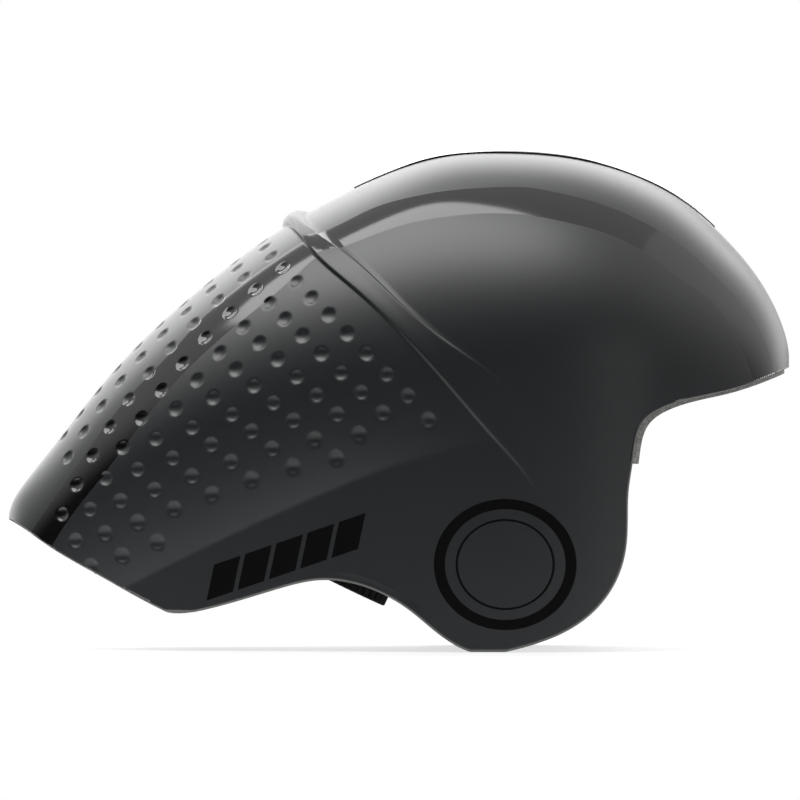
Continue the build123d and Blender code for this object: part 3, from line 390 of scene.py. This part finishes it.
def woven_polyester(colours):
    """Woven polyester webbing: herringbone of 1.1 mm yarns between ribbed selvedges, dull with a low sheen.

    The yarns are drawn about twice as coarse as real ones so that they show.
    """
    made, add, place = new_material("woven_polyester")
    yarn = linear(colours.webbing)
    run = add("UVMap", uv_map="weave")
    parts = add("SeparateXYZ", {"Vector": run}).node.outputs
    zigzag = add("Math", {0: parts["Y"], 1: 4.0}, operation="PINGPONG")
    slant = add("Math", {0: parts["X"], 1: zigzag}, operation="ADD")
    yarns = add("Math", {0: slant, 1: 0.55}, operation="PINGPONG")
    ribs = add("Math", {0: parts["Y"], 1: 0.5}, operation="PINGPONG")
    height = add("Math", {0: yarns, 1: ribs}, operation="ADD")
    across = add("Math", {0: parts["Y"]}, operation="ABSOLUTE")
    selvedge = add("MapRange", {"Value": across, 1: 6.6, 2: 7.2})
    cloud = add("TexNoise", {"Vector": place, "Scale": 1 / 6, "Detail": 3.0})
    colour = add("Mix", {0: height, 6: shade(yarn, 0.5), 7: shade(yarn, 1.9)}, **rgba)
    colour = add("Mix", {0: selvedge, 6: colour, 7: shade(yarn, 1.5)}, **rgba)
    rough = add("MapRange", {"Value": cloud, 1: 0.3, 2: 0.7, 3: 0.62, 4: 0.78})
    bump = add("Bump", {"Height": height, "Distance": 0.3 * mm, "Strength": 0.6})
    shader = add("BsdfPrincipled",
                 {"Base Color": colour, "Roughness": rough, "Normal": bump, "Sheen Weight": 0.2,
                  "IOR": 1.5})
    add("OutputMaterial", {"Surface": shader})
    return made


def painted_floor(colours):
    """Studio table in matt paint: pale, with a faint roller grain; beyond 280 mm it fades to nearly black, a
    painted shade standing in for a dim room, and near the helmet it glows faintly, a painted fill light from
    below.

    Camera rays see it fade to white instead, so that it has no horizon, and see through it from below.
    """
    made, add, place = new_material("painted_studio_floor")
    paint = linear(colours.floor)
    grain = add("TexNoise", {"Vector": place, "Scale": 1 / 2.5, "Detail": 3.0})
    colour = add("Mix", {0: grain, 6: shade(paint, 0.97), 7: paint}, **rgba)
    far = add("VectorMath", {0: place}, "Value", operation="LENGTH")
    # From 280 to 520 mm the floor's colour fades to nearly black: painted shade that stands in for a dim room
    # in reflections
    room = add("MapRange", {"Value": far, 1: 280.0, 2: 520.0}, **smoothstep)
    colour = add("Mix", {0: room, 6: colour, 7: shade(paint, 0.03)}, **rgba)
    # The faint emission is a painted fill light: the floor near the helmet glows and lights it from below
    shader = add("BsdfPrincipled", {"Base Color": colour, "Roughness": 0.6, "Emission Color": colour,
                  "Emission Strength": 0.1})
    fade = add("MapRange", {"Value": far, 1: 170.0, 2: 330.0, 3: 0.65, 4: 1.0}, **smoothstep)
    camera = add("LightPath", output="Is Camera Ray")
    seen = add("Math", {0: camera, 1: fade}, operation="MULTIPLY")
    white = add("Emission", {"Strength": 1.0})
    mixed = add("MixShader", {0: seen, 1: shader, 2: white})
    below = add("NewGeometry", output="Backfacing")
    clear = add("BsdfTransparent")
    mixed = add("MixShader", {0: below, 1: mixed, 2: clear})
    add("OutputMaterial", {"Surface": mixed})
    return made


def studio_world():
    """White background for the camera, and a room that is bright behind and above for reflections."""
    world = bpy.data.worlds.new("studio")
    world.use_nodes = True
    world.node_tree.nodes.clear()
    add = partial(add_node, world.node_tree)
    path = add("LightPath").node.outputs
    plain = add("Math", {0: path["Is Camera Ray"], 1: path["Is Transmission Ray"]}, operation="MAXIMUM")
    shown = add("Math", {0: plain, 1: path["Is Glossy Ray"]}, operation="MAXIMUM")
    way = add("TexCoord", output="Generated")
    parts = add("SeparateXYZ", {"Vector": way}).node.outputs
    high = add("Math", {0: parts["Y"], 1: 0.5, 2: parts["Z"]}, operation="MULTIPLY_ADD")
    room = add("MapRange", {"Value": high, 1: 0.0, 2: 0.55, 3: 0.03, 4: 1.0}, **smoothstep)
    wall = add("Math", {0: room, 1: plain}, operation="MAXIMUM")
    dim = add("Background", {"Color": wall, "Strength": 0.4})
    bright = add("Background", {"Color": wall, "Strength": 1.0})
    mixed = add("MixShader", {0: shown, 1: dim, 2: bright})
    add("OutputWorld", {"Surface": mixed})
    return world


def smooth_line(points, count=1500):
    """Points along the cubic line that runs smoothly through the given ones."""
    knots = np.array(points, float)
    runs = np.hypot(*np.diff(knots, axis=0).T)
    along = np.concatenate([[0.0], np.cumsum(runs)])
    size = len(knots)
    left, right = np.zeros((size, size)), np.zeros((size, 2))
    left[0, :3] = runs[1], -(runs[0] + runs[1]), runs[0]
    left[-1, -3:] = runs[-1], -(runs[-2] + runs[-1]), runs[-2]
    for i in range(1, size - 1):
        left[i, i - 1:i + 2] = runs[i - 1], 2 * (runs[i - 1] + runs[i]), runs[i]
        right[i] = 6 * ((knots[i + 1] - knots[i]) / runs[i] - (knots[i] - knots[i - 1]) / runs[i - 1])
    bends = np.linalg.solve(left, right)
    where = np.linspace(0.0, along[-1], count)
    k = np.clip(np.searchsorted(along, where, side="right") - 1, 0, size - 2)
    d, run = (where - along[k])[:, None], runs[k][:, None]
    slope = (knots[k + 1] - knots[k]) / run - run * (2 * bends[k] + bends[k + 1]) / 6
    return knots[k] + d * slope + d * d * bends[k] / 2 + d ** 3 * (bends[k + 1] - bends[k]) / (6 * run)


def form_line(shares, width, height):
    """A line of the form, round where it meets the ends, as places along X and its values."""
    line = smooth_line([(width * math.acos(-2 * a), height * b) for a, b in shares])
    return -width / 2 * np.cos(line[:, 0] / width), line[:, 1]


def side_line(shares):
    """A line drawn in the side view, as places along X and heights."""
    line = smooth_line([(skin_length * a, skin_height * b) for a, b in shares])
    return line[:, 0], line[:, 1]


def ease(values, start, end):
    """Smooth step from 0 at the start to 1 at the end."""
    t = np.clip((values - start) / (end - start), 0.0, 1.0)
    return t * t * (3 - 2 * t)


class SkinForm:
    """The skin's form, looked up by the place along X and the way down from the crest."""

    stations, steps = 1201, 500
    rear_from, rear_to, rear_tries = -120.0, 108.0, 2400

    def __init__(self):
        angles = np.linspace(0.0, math.pi, self.stations)
        self.x = -skin_length / 2 * np.cos(angles)
        half = np.interp(self.x, *form_line(plan_shares, skin_length, skin_width / 2))
        widest = np.interp(self.x, *form_line(widest_shares, skin_length, skin_height))
        crease = np.interp(self.x, *form_line(crease_shares, skin_length, skin_height))
        top = np.interp(self.x, *form_line(crest_shares, skin_length, skin_height))
        ear = ease(self.x, change_from, change_to)
        tuck = half - tail_tuck_share * half * (1 - ear)
        angle = np.radians(tail_flare_angle + (ear_flare_angle - tail_flare_angle) * ear)
        low = np.full_like(half, -floor_depth)
        hem = tuck + (crease - low) * np.tan(angle)
        full = crown_fullness_share
        rise = widest + full * (top - widest)
        arch = [(0 * half, top), (full * half, top), (half, rise), (half, widest)]
        side = [(half, widest), (half, (widest + crease) / 2), (tuck, crease)]
        skirt = [(tuck, crease), (tuck + (hem - tuck) / 3, (crease + low) / 2), (hem, low)]
        t = np.linspace(0.0, 1.0, 160)[None, :]
        runs = [self.curve(part, t)[:, 1 if i else 0:] for i, part in enumerate((arch, side, skirt))]
        path = np.concatenate(runs, axis=1)
        length = np.hypot(*np.moveaxis(np.diff(path, axis=1), 2, 0))
        down = np.concatenate([np.zeros((self.stations, 1)), np.cumsum(length, axis=1)], axis=1)
        self.full = down[:, -1]
        shares = np.linspace(0.0, 1.0, self.steps)
        self.path = np.array([[np.interp(shares * down[i, -1], down[i], path[i, :, n]) for n in (0, 1)]
                              for i in range(self.stations)])
        tail, skirt_line, brow = (np.array(side_line(s)) for s in
                                  (tail_hem_shares, skirt_hem_shares, brow_hem_shares))
        self.hem_line = np.concatenate([tail, skirt_line, brow], axis=1)
        self.hem = np.array([self.down_to(x, np.interp(x, *self.hem_line)) for x in self.x])

    @staticmethod
    def curve(points, t):
        """A Bezier curve at each station."""
        points = [np.stack(p, axis=-1)[:, None, :] for p in points]
        t = t[..., None]
        while len(points) > 1:
            points = [a + (b - a) * t for a, b in zip(points, points[1:])]
        return points[0]

    def down_to(self, x, z):
        """Way down from the crest to a height, at one place along X."""
        at = np.interp(x, self.x, np.arange(self.stations))
        i = min(int(at), self.stations - 2)
        row = self.path[i] * (1 - at + i) + self.path[i + 1] * (at - i)
        return float(np.interp(-z, -row[1], np.linspace(0.0, np.interp(x, self.x, self.full), self.steps)))

    def place(self, x, down):
        """Points on the form's right hand, for arrays of places along X and ways down."""
        at = np.clip(np.interp(x, self.x, np.arange(self.stations)), 0, self.stations - 1.001)
        i = at.astype(int)
        a = at - i
        across = np.clip(down / np.interp(x, self.x, self.full) * (self.steps - 1), 0, self.steps - 1.001)
        j = across.astype(int)
        b = across - j
        found = []
        for n in (0, 1):
            grid = self.path[:, n]
            found.append((grid[i, j] * (1 - b) + grid[i, j + 1] * b) * (1 - a)
                         + (grid[i + 1, j] * (1 - b) + grid[i + 1, j + 1] * b) * a)
        return np.stack([x, found[0], found[1]], axis=-1)

    def belt_edge(self, shares):
        """An edge of the belt, as ways down from the crest and places along X."""
        points = [(self.down_to(skin_length * a, skin_height * b), skin_length * a) for a, b in shares]
        points[0] = (0.0, points[0][1])
        return points

    def rear_edge(self, rows):
        """Where each row of the tail meets the belt's rear edge, along X."""
        line = smooth_line(self.belt_edge(belt_rear_shares))
        tried = np.linspace(self.rear_from, self.rear_to, self.rear_tries)
        hems = np.interp(tried, self.x, self.hem)
        met = []
        for v in rows:
            gap = tried - np.interp(v * hems, line[:, 0], line[:, 1])
            k = int(np.argmax(gap > 0))
            met.append(tried[k - 1] - gap[k - 1] * (tried[k] - tried[k - 1]) / (gap[k] - gap[k - 1]))
        return np.array(met)

    def hem_way(self, places):
        """Way down to the hem at places along X, exact where the hem is steep."""
        return np.array([self.down_to(x, np.interp(x, *self.hem_line)) for x in np.ravel(places)])


def hem_places(form, start, end, shares):
    """Places along X at shares of the hem's length between two places."""
    fine = np.linspace(start, end, 6000)
    rise = np.interp(fine, *form.hem_line)
    along = np.concatenate([[0.0], np.cumsum(np.hypot(np.diff(fine), np.diff(rise)))])
    return np.interp(shares * along[-1], along, fine)


def skin_grid(form, columns, rows):
    """Places along X and ways down for each column and row of the skin, with the belt's edges on columns.

    Also the share across the belt of each column, from 0 at its rear edge to 1 at its front edge.
    """
    v = np.interp(np.linspace(0.0, 1.0, rows + 1), *zip(*row_shares))
    half = skin_length / 2
    rear = form.rear_edge(v)
    first = np.linspace(0.0, 1.0, columns + 1)[:, None] * np.arccos(-rear / half)[None, :]
    tail = -half * np.cos(first)
    tail_down = v * np.interp(tail, form.x, form.hem)
    front_way = form.hem_way([belt_front_end])[0]
    edge = smooth_line(form.belt_edge(belt_front_shares) + [(front_way, belt_front_end)])
    front_down = front_way * v * (1 + front_row_share * (1 - v))
    front = np.interp(front_down, edge[:, 0], edge[:, 1])
    shares = [a for a, b in crest_shape + side_shape] + list(np.linspace(0, 1, columns // 8))
    q = np.unique(np.round(shares, 2))[1:, None]
    low = hem_places(form, rear[-1], belt_front_end, q)
    belt = rear * (1 - q) + front * q + v ** 4 * (low - rear[-1] * (1 - q) - front[-1] * q)
    deep = form.hem_way(low)[:, None]
    belt_down = tail_down[-1] * (1 - q) + front_down * q
    belt_down = belt_down + v ** 4 * (deep - tail_down[-1, -1] * (1 - q) - front_way * q)
    u = np.linspace(0.0, 1.0, columns // 3 + 1)[1:, None]
    start = np.arccos(-front[0] / half)
    crest = -half * np.cos(start + (math.pi - start) * u)
    hem = hem_places(form, belt_front_end, half, u)
    bow = front - (front[0] * (1 - v) + front[-1] * v)
    crown = crest * (1 - v) + hem * v + (1 - u) ** 2 * bow
    crown_down = form.hem_way(hem)[:, None] * v + (1 - u) ** 2 * (front_down - front_way * v)
    x = np.concatenate([tail, belt, crown], axis=0)
    down = np.concatenate([tail_down, belt_down, crown_down], axis=0)
    return x, down, np.concatenate([np.zeros(columns + 1), q[:, 0], np.ones(len(u))])


def both_hands(right):
    """A grid from the crest down one side, turned to run from hem to hem."""
    left = right[:, :0:-1].copy()
    left[..., 1] *= -1
    return np.concatenate([left, right], axis=1)


def unit(vectors):
    """Vectors brought to length 1."""
    return vectors / np.maximum(np.linalg.norm(vectors, axis=-1), tiny)[..., None]


def grid_normals(points):
    """Outward unit normals of a grid of points."""
    along = np.gradient(points, axis=0)
    across = np.gradient(points, axis=1)
    return unit(np.cross(along, across))


def dimple_centres(form):
    """Centres of the dimples on both sides."""
    crease = form_line(crease_shares, skin_length, skin_height)
    found = []
    for row, start in enumerate(dimple_line_places):
        for line in range(dimple_line_count):
            back = dimple_line_step * line - dimple_line_closing * line ** 2
            x = start - back * (dimple_line_share - dimple_row_closing * row)
            spread = 1 + dimple_row_spread * line + dimple_row_bend * line ** 2
            down = (dimple_row_first + dimple_row_step * row) * spread
            point = form.place(np.array([x]), np.array([down]))[0]
            if x > dimple_end and point[2] > np.interp(x, *crease) + dimple_clearance:
                found += [point, point * (1, -1, 1)]
    return np.array(found)


def stripe_edges(points):
    """Signed distances in millimetres from the stripe's upper and lower edge, in the side view."""
    edges = []
    for shares in (stripe_top_shares, stripe_low_shares):
        x, z = side_line(shares)
        slope = np.interp(points[..., 0], x[1:], np.diff(z) / np.diff(x))
        edges.append((np.interp(points[..., 0], x, z) - points[..., 2]) / np.sqrt(1 + slope ** 2))
    return edges[0], -edges[1]


def mesh_piece(name, points, faces, finish, attributes=None):
    """A mesh object from points in millimetres."""
    mesh = bpy.data.meshes.new(name)
    mesh.from_pydata((np.asarray(points) * mm).tolist(), [], faces)
    for key, values in (attributes or {}).items():
        mesh.attributes.new(key, "FLOAT", "POINT").data.foreach_set("value", np.asarray(values, np.float32))
    mesh.materials.append(finish)
    mesh.shade_smooth()
    piece = bpy.data.objects.new(name, mesh)
    bpy.context.scene.collection.objects.link(piece)
    return piece


def grid_faces(columns, rows, wrap=False):
    """Faces of a grid of points, closed across its rows where asked."""
    index = np.arange(columns * rows).reshape(columns, rows)
    if wrap:
        index = np.concatenate([index, index[:, :1]], axis=1)
    return np.stack([index[:-1, :-1], index[1:, :-1], index[1:, 1:], index[:-1, 1:]], axis=-1).reshape(-1, 4)


def make_skin(sizes, finish):
    """The skin with its belt, dimples, flange and rounded hem."""
    form = SkinForm()
    columns, rows = sizes.skin_columns, sizes.skin_rows
    x, down, across = skin_grid(form, columns, rows)
    base = both_hands(form.place(x, down))
    ways = np.concatenate([down[:, :0:-1], down], axis=1)
    normals = grid_normals(base)
    stripe = stripe_edges(base)
    rise, *lower = [np.interp(across, *zip(*points))[:, None]
                    for points in (crest_shape, side_shape, low_shape)]
    spans = ((crest_shape_from, crest_shape_to), (low_shape_from, low_shape_to))
    for shape, span in zip(lower, spans):
        rise = rise + (shape - rise) * ease(ways, *span)
    rise = rise * np.interp(ways, *zip(*belt_fade))
    hem_way = ways[:, -1:] - ways
    flange = ease(base[..., 0], flange_from, flange_from + flange_run_out)
    flange = flange * (1 - ease(base[..., 0], flange_to - flange_run_out, flange_to))
    rise = rise + flange_rise * flange * (1 - ease(hem_way, flange_height - flange_step, flange_height))
    sink = np.zeros_like(rise)
    depth, reach = sizes.dimple_depth / mm, dimple_width / 2
    tail = slice(0, columns + 1)
    for centre in dimple_centres(form):
        away = np.linalg.norm(base[tail] - centre, axis=2)
        bowl = np.clip(1 - (away / reach) ** 2, 0, 1) ** dimple_roundness
        sink[tail] = np.maximum(sink[tail], depth * bowl)
    points = base + normals * (rise - sink)[..., None]
    outward = grid_normals(points)
    outward[[0, -1], :, 1] = 0
    outward[[0, -1]] = unit(outward[[0, -1]])
    radius = skin_wall / 2
    sides = []
    for edge, turn in ((0, 1), (-1, -1)):
        run = np.gradient(points[:, edge], axis=0)
        n = outward[:, edge]
        d = turn * np.cross(run, n)
        d[[0, -1], 1] = 0
        d = unit(d)
        start = points[:, edge] - d * radius
        centre = start - n * radius
        turned = [centre + radius * (math.cos(t) * n + math.sin(t) * d)
                  for t in np.radians(hem_turns)]
        turned += [start - 2 * radius * n - d * deep for deep in hem_returns]
        points[:, edge] = start
        sides.append(np.stack(turned, axis=1))
    added = sides[0].shape[1]
    points = np.concatenate([sides[0][:, ::-1], points, sides[1]], axis=1)
    far = np.full((len(points), added), -1.0)
    stripe = [np.concatenate([far, edge, far], axis=1).ravel() for edge in stripe]
    near = np.concatenate([0 * far, hem_way, 0 * far], axis=1)
    shape = points.shape
    piece = mesh_piece("moulded_skin", points.reshape(-1, 3), grid_faces(shape[0], shape[1]).tolist(), finish,
                       {"stripe_top": stripe[0], "stripe_low": stripe[1], "hem_edge": near.ravel()})
    welded = bmesh.new()
    welded.from_mesh(piece.data)
    bmesh.ops.remove_doubles(welded, verts=welded.verts, dist=1e-6)
    bmesh.ops.dissolve_degenerate(welded, edges=welded.edges, dist=1e-7)
    welded.to_mesh(piece.data)
    welded.free()
    return piece


def ribbon(name, path, finish):
    """Webbing along a path in millimetres: flat, with thicker selvedges, and its weave laid out by length."""
    run = unit(np.gradient(path, axis=0))
    side = np.array((1.0, 0.0, 0.0))
    up = unit(np.cross(run, side))
    along = np.concatenate([[0.0], np.cumsum(np.linalg.norm(np.diff(path, axis=0), axis=1))])
    half, deep = webbing_width / 2, webbing_thick / 2
    share = np.array([-1.0, -0.985, -0.94, -0.88, -0.8, -0.4, 0.0, 0.4, 0.8, 0.88, 0.94, 0.985, 1.0])
    lift = deep * np.array([0.0, 0.62, 0.95, 1.0, 0.82, 0.86, 0.88, 0.86, 0.82, 1.0, 0.95, 0.62, 0.0])
    a = np.concatenate([share, share[-2:0:-1]]) * half
    b = np.concatenate([lift, -lift[-2:0:-1]])
    points = path[:, None, :] + a[None, :, None] * side + b[None, :, None] * up[:, None, :]
    count, around = points.shape[:2]
    faces = grid_faces(count, around, wrap=True).tolist()
    faces += [list(range(around - 1, -1, -1)), list(range((count - 1) * around, count * around))]
    piece = mesh_piece(name, points.reshape(-1, 3), faces, finish)
    layer = piece.data.uv_layers.new(name="weave")
    flat = np.stack([np.repeat(along, around), np.tile(a, count)], axis=1)
    corners = np.zeros(len(piece.data.loops), int)
    piece.data.loops.foreach_get("vertex_index", corners)
    layer.data.foreach_set("uv", flat[corners].astype(np.float32).ravel())
    return piece


def evaluated_mesh(piece):
    """The piece's mesh with its modifiers applied, as a new mesh."""
    found = piece.evaluated_get(bpy.context.evaluated_depsgraph_get())
    return bpy.data.meshes.new_from_object(found)


def coordinates(mesh):
    """The mesh's points as an array."""
    flat = np.zeros(len(mesh.vertices) * 3)
    mesh.vertices.foreach_get("co", flat)
    return flat.reshape(-1, 3)


def puffed_pad(node, sizes, finish, body):
    """A foam pad in its knitted cover, puffed up from the shape of its solid."""
    mesh = frame["nodes"][node].data.copy()
    mesh.materials.clear()
    name = node + "_cover"
    piece = bpy.data.objects.new(name, mesh)
    bpy.context.scene.collection.objects.link(piece)
    remesh = piece.modifiers.new("voxels", "REMESH")
    remesh.mode, remesh.voxel_size = "VOXEL", sizes.pad_voxel
    slack = piece.modifiers.new("slack", "SMOOTH")
    slack.factor, slack.iterations = 0.5, 6
    mesh = evaluated_mesh(piece)
    piece.modifiers.clear()
    piece.data = mesh
    start = coordinates(mesh)
    normals = np.array([v.normal for v in mesh.vertices])
    start -= normals * pad_shrink * mm
    mesh.vertices.foreach_set("co", start.ravel())
    mesh.update()
    cloth = piece.modifiers.new("cloth", "CLOTH")
    settings = cloth.settings
    settings.quality, settings.mass = 6, 0.1
    settings.tension_stiffness = settings.compression_stiffness = 12
    settings.bending_stiffness = 0.4
    settings.use_pressure, settings.uniform_pressure_force = True, sizes.pad_pressure
    settings.effector_weights.gravity = 0
    for step in range(1, pad_steps + 1):
        bpy.context.scene.frame_set(step)
    moved = coordinates(piece.evaluated_get(bpy.context.evaluated_depsgraph_get()).data)
    piece.modifiers.clear()
    bpy.context.scene.frame_set(1)
    shift = moved - start
    size = np.linalg.norm(shift, axis=1)[:, None]
    shift *= np.minimum(1.0, pad_swell * mm / np.maximum(size, tiny))
    mesh.vertices.foreach_set("co", (start + shift).ravel())
    mesh.update()
    finer = piece.modifiers.new("finer", "SUBSURF")
    finer.levels = finer.render_levels = 1
    piece.data = evaluated_mesh(piece)
    piece.modifiers.clear()
    piece.data.shade_smooth()
    piece.data.materials.append(finish)
    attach(piece, body)
    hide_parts(node)
    return piece


def dress(names, finish):
    """Give CAD nodes a finish."""
    for name in names:
        node = frame["nodes"][name]
        if not node.material_slots:
            node.data.materials.append(finish)
        for slot in node.material_slots:
            slot.link = "OBJECT"
            slot.material = finish


class HELMET_OT_skin(bpy.types.Operator):
    """Build the moulded skin with its belt, dimples, stripes and marks."""

    bl_idname = "helmet.skin"
    bl_label = "Moulded skin"

    def execute(self, context):
        piece = make_skin(context.scene.helmet_sizes, lacquered_polycarbonate(context.scene.helmet_colours))
        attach(piece, "helmet")
        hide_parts("outer_shell")
        return {"FINISHED"}


class HELMET_OT_crest(bpy.types.Operator):
    """Finish the gloss strip along the crest."""

    bl_idname = "helmet.crest"
    bl_label = "Crest strip"

    def execute(self, context):
        # Polycarbonate under gloss lacquer: deep black, sharp reflections and a faint polishing haze
        dress(["crest_strip"],
              mottled_surface("gloss_lacquered_polycarbonate", context.scene.helmet_colours.gloss,
                              (1.0, 1.6), (0.05, 0.1), (20, 4.0), (2.2, 1.0), (0.003, 1.0), {"IOR": 1.5}))
        return {"FINISHED"}


class HELMET_OT_liners(bpy.types.Operator):
    """Finish the foam liners behind the skin."""

    bl_idname = "helmet.liners"
    bl_label = "Foam liners"

    def execute(self, context):
        dress(["crown_liner", "tail_liner", "left_ear_liner", "right_ear_liner"],
              expanded_polystyrene(context.scene.helmet_colours))
        return {"FINISHED"}


class HELMET_OT_pads(bpy.types.Operator):
    """Puff up the pads of the head space, the cradle and the chin strap."""

    bl_idname = "helmet.pads"
    bl_label = "Pads"

    def execute(self, context):
        sizes = context.scene.helmet_sizes
        knit = knitted_polyester(context.scene.helmet_colours)
        for node in ("brow_pad", "top_pad", "left_crown_pad", "right_crown_pad", "left_ear_pad",
                     "right_ear_pad", "chin_pad"):
            puffed_pad(node, sizes, knit, "helmet")
        puffed_pad("cradle_pad", sizes, knit, "cradle")
        return {"FINISHED"}


class HELMET_OT_straps(bpy.types.Operator):
    """Lay the webbing of the side straps and the chin strap."""

    bl_idname = "helmet.straps"
    bl_label = "Webbing"

    def execute(self, context):
        web = woven_polyester(context.scene.helmet_colours)
        runs = (("front", front_strap_x, webbing_layer), ("rear", rear_strap_x, -webbing_layer))
        share = np.linspace(0.0, 1.0, 40)
        for hand, sign in (("left", 1), ("right", -1)):
            for end, (low_x, high_x), layer in runs:
                path = np.stack([low_x + (high_x - low_x) * share, sign * (strap_y + layer) + 0 * share,
                                 strap_low + (strap_high - strap_low) * share], axis=1)
                piece = ribbon(f"{hand}_{end}_webbing", path, web)
                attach(piece, "helmet")
                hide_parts(f"{hand}_{end}_strap")
        for hand, sign, end_y in (("left", 1, left_chin_end), ("right", -1, right_chin_end)):
            t = np.linspace(0.0, 1.0, 60)[:, None]
            corners = [np.array((sign * y, z)) for y, z in chin_bend]
            while len(corners) > 1:
                corners = [a + (b - a) * t for a, b in zip(corners, corners[1:])]
            above = [(sign * strap_y, z) for z in (chin_top, chin_top - chin_straight)]
            across = [(y, chin_z) for y in np.linspace(sign * chin_flat, end_y, 24)]
            line = np.concatenate([above, corners[0], across])
            path = np.stack([np.full(len(line), chin_x), line[:, 0], line[:, 1]], axis=1)
            piece = ribbon(f"{hand}_chin_webbing", path, web)
            node_body = next(b for b, members in frame["record"]["behaviour"]["bodies"].items()
                             if f"{hand}_chin_strap" in members)
            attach(piece, node_body)
            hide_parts(f"{hand}_chin_strap")
        return {"FINISHED"}


class HELMET_OT_fit(bpy.types.Operator):
    """Finish the fit system: halo band, cradle, rail, arms, housing and dial."""

    bl_idname = "helmet.fit"
    bl_label = "Fit system"

    def execute(self, context):
        colours = context.scene.helmet_colours
        # Injection-moulded nylon and rubber with a spark-eroded grain, shinier where they are rubbed
        nylon = mottled_surface("moulded_nylon", colours.nylon, (0.8, 1.4), (0.42, 0.58), (14, 4.0),
                                (0.5, 3.0), (0.05, 0.6), {"IOR": 1.5})
        rubber = mottled_surface("moulded_rubber", colours.rubber, (0.8, 1.4), (0.6, 0.8), (14, 4.0),
                                 (0.35, 3.0), (0.06, 0.6), {"IOR": 1.5})
        # Stainless steel, turned: a bright metal with fine marks left by the tool
        steel = mottled_surface("turned_stainless_steel", colours.steel, (0.8, 1.0), (0.22, 0.38), (0.4, 2.0),
                                (0.4, 2.0), (0.01, 1.0), {"Metallic": 1.0})
        dress(["halo_band", "halo_plugs", "nape_cradle", "height_rail", "left_fit_arm", "right_fit_arm",
               "dial_housing", "housing_cover", "dial_pinion"], nylon)
        dress(["fit_dial"], rubber)
        dress(["dial_screw", "housing_screws", "lever_pins"], steel)
        return {"FINISHED"}


class HELMET_OT_buckle(bpy.types.Operator):
    """Finish the buckle, strap dividers, levers, anchors and keeper."""

    bl_idname = "helmet.buckle"
    bl_label = "Buckle and dividers"

    def execute(self, context):
        # Injection-moulded acetal: smoother and glossier than the nylon
        acetal = mottled_surface("moulded_acetal", context.scene.helmet_colours.acetal, (0.8, 1.4),
                                 (0.28, 0.42), (14, 4.0), (0.4, 3.0), (0.03, 0.6), {"IOR": 1.5})
        dress(["buckle_socket", "buckle_plug", "left_divider", "right_divider", "left_lock_lever",
               "right_lock_lever", "strap_anchors", "strap_keeper"], acetal)
        return {"FINISHED"}


def area_lamp(name, place, aim, width, height, power):
    """A softbox that points from its place at its aim."""
    data = bpy.data.lights.new(name, "AREA")
    data.shape, data.size, data.size_y, data.energy = "ELLIPSE", width, height, power
    lamp = bpy.data.objects.new(name, data)
    lamp.location = place
    lamp.rotation_euler = (Vector(aim) - Vector(place)).to_track_quat("-Z", "Y").to_euler()
    lamp.visible_camera = False
    bpy.context.scene.collection.objects.link(lamp)


class HELMET_OT_studio(bpy.types.Operator):
    """Build the studio: floor, background, lamps and camera."""

    bl_idname = "helmet.studio"
    bl_label = "Studio"

    def execute(self, context):
        scene = context.scene
        around = np.linspace(0.0, 2 * math.pi, floor_spokes + 1)[:-1]
        points = [(r * math.cos(t), r * math.sin(t), floor_z) for r in floor_rings for t in around]
        faces = grid_faces(len(floor_rings), floor_spokes, wrap=True).tolist()
        floor = mesh_piece("studio_floor", points, faces, painted_floor(scene.helmet_colours))
        scene.world = studio_world()
        for name, place, aim, width, height, power in softboxes:
            area_lamp(name + "_softbox", place, aim, width, height, power)
        data = bpy.data.cameras.new("camera")
        data.lens, data.sensor_width = camera_lens, camera_sensor
        camera = bpy.data.objects.new("camera", data)
        away = framed_width * data.lens / data.sensor_width
        tilt = math.radians(camera_tilt)
        camera.location = (camera_x, -away * math.cos(tilt), camera_z + away * math.sin(tilt))
        camera.rotation_euler = (math.pi / 2 - tilt, 0.0, 0.0)
        data.clip_start, data.clip_end = 0.01, 50.0
        scene.collection.objects.link(camera)
        scene.camera = camera
        scene.view_settings.view_transform = "Standard"
        return {"FINISHED"}


class HELMET_PT_pieces(bpy.types.Panel):
    """Lists the helmet's operators, sizes and colours."""

    bl_idname = "HELMET_PT_pieces"
    bl_label = "Helmet"
    bl_space_type = "VIEW_3D"
    bl_region_type = "UI"
    bl_category = "Helmet"

    def draw(self, context):
        for operator in operators:
            self.layout.operator(operator.bl_idname)
        for group in (context.scene.helmet_sizes, context.scene.helmet_colours):
            for name in group.__annotations__:
                self.layout.prop(group, name)


operators = (HELMET_OT_skin, HELMET_OT_crest, HELMET_OT_liners, HELMET_OT_pads, HELMET_OT_straps,
             HELMET_OT_fit, HELMET_OT_buckle, HELMET_OT_studio)
classes = (HelmetSizes, HelmetColours, *operators, HELMET_PT_pieces)


def register():
    """Register the add-on's classes and settings."""
    for item in classes:
        bpy.utils.register_class(item)
    bpy.types.Scene.helmet_sizes = PointerProperty(type=HelmetSizes)
    bpy.types.Scene.helmet_colours = PointerProperty(type=HelmetColours)


def unregister():
    """Take the add-on's classes and settings away."""
    del bpy.types.Scene.helmet_colours
    del bpy.types.Scene.helmet_sizes
    for item in reversed(classes):
        bpy.utils.unregister_class(item)


def main():
    """Register the add-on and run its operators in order."""
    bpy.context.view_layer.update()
    register()
    for operator in operators:
        group, name = operator.bl_idname.split(".")
        getattr(getattr(bpy.ops, group), name)()


if __name__ == "__main__":
    main()
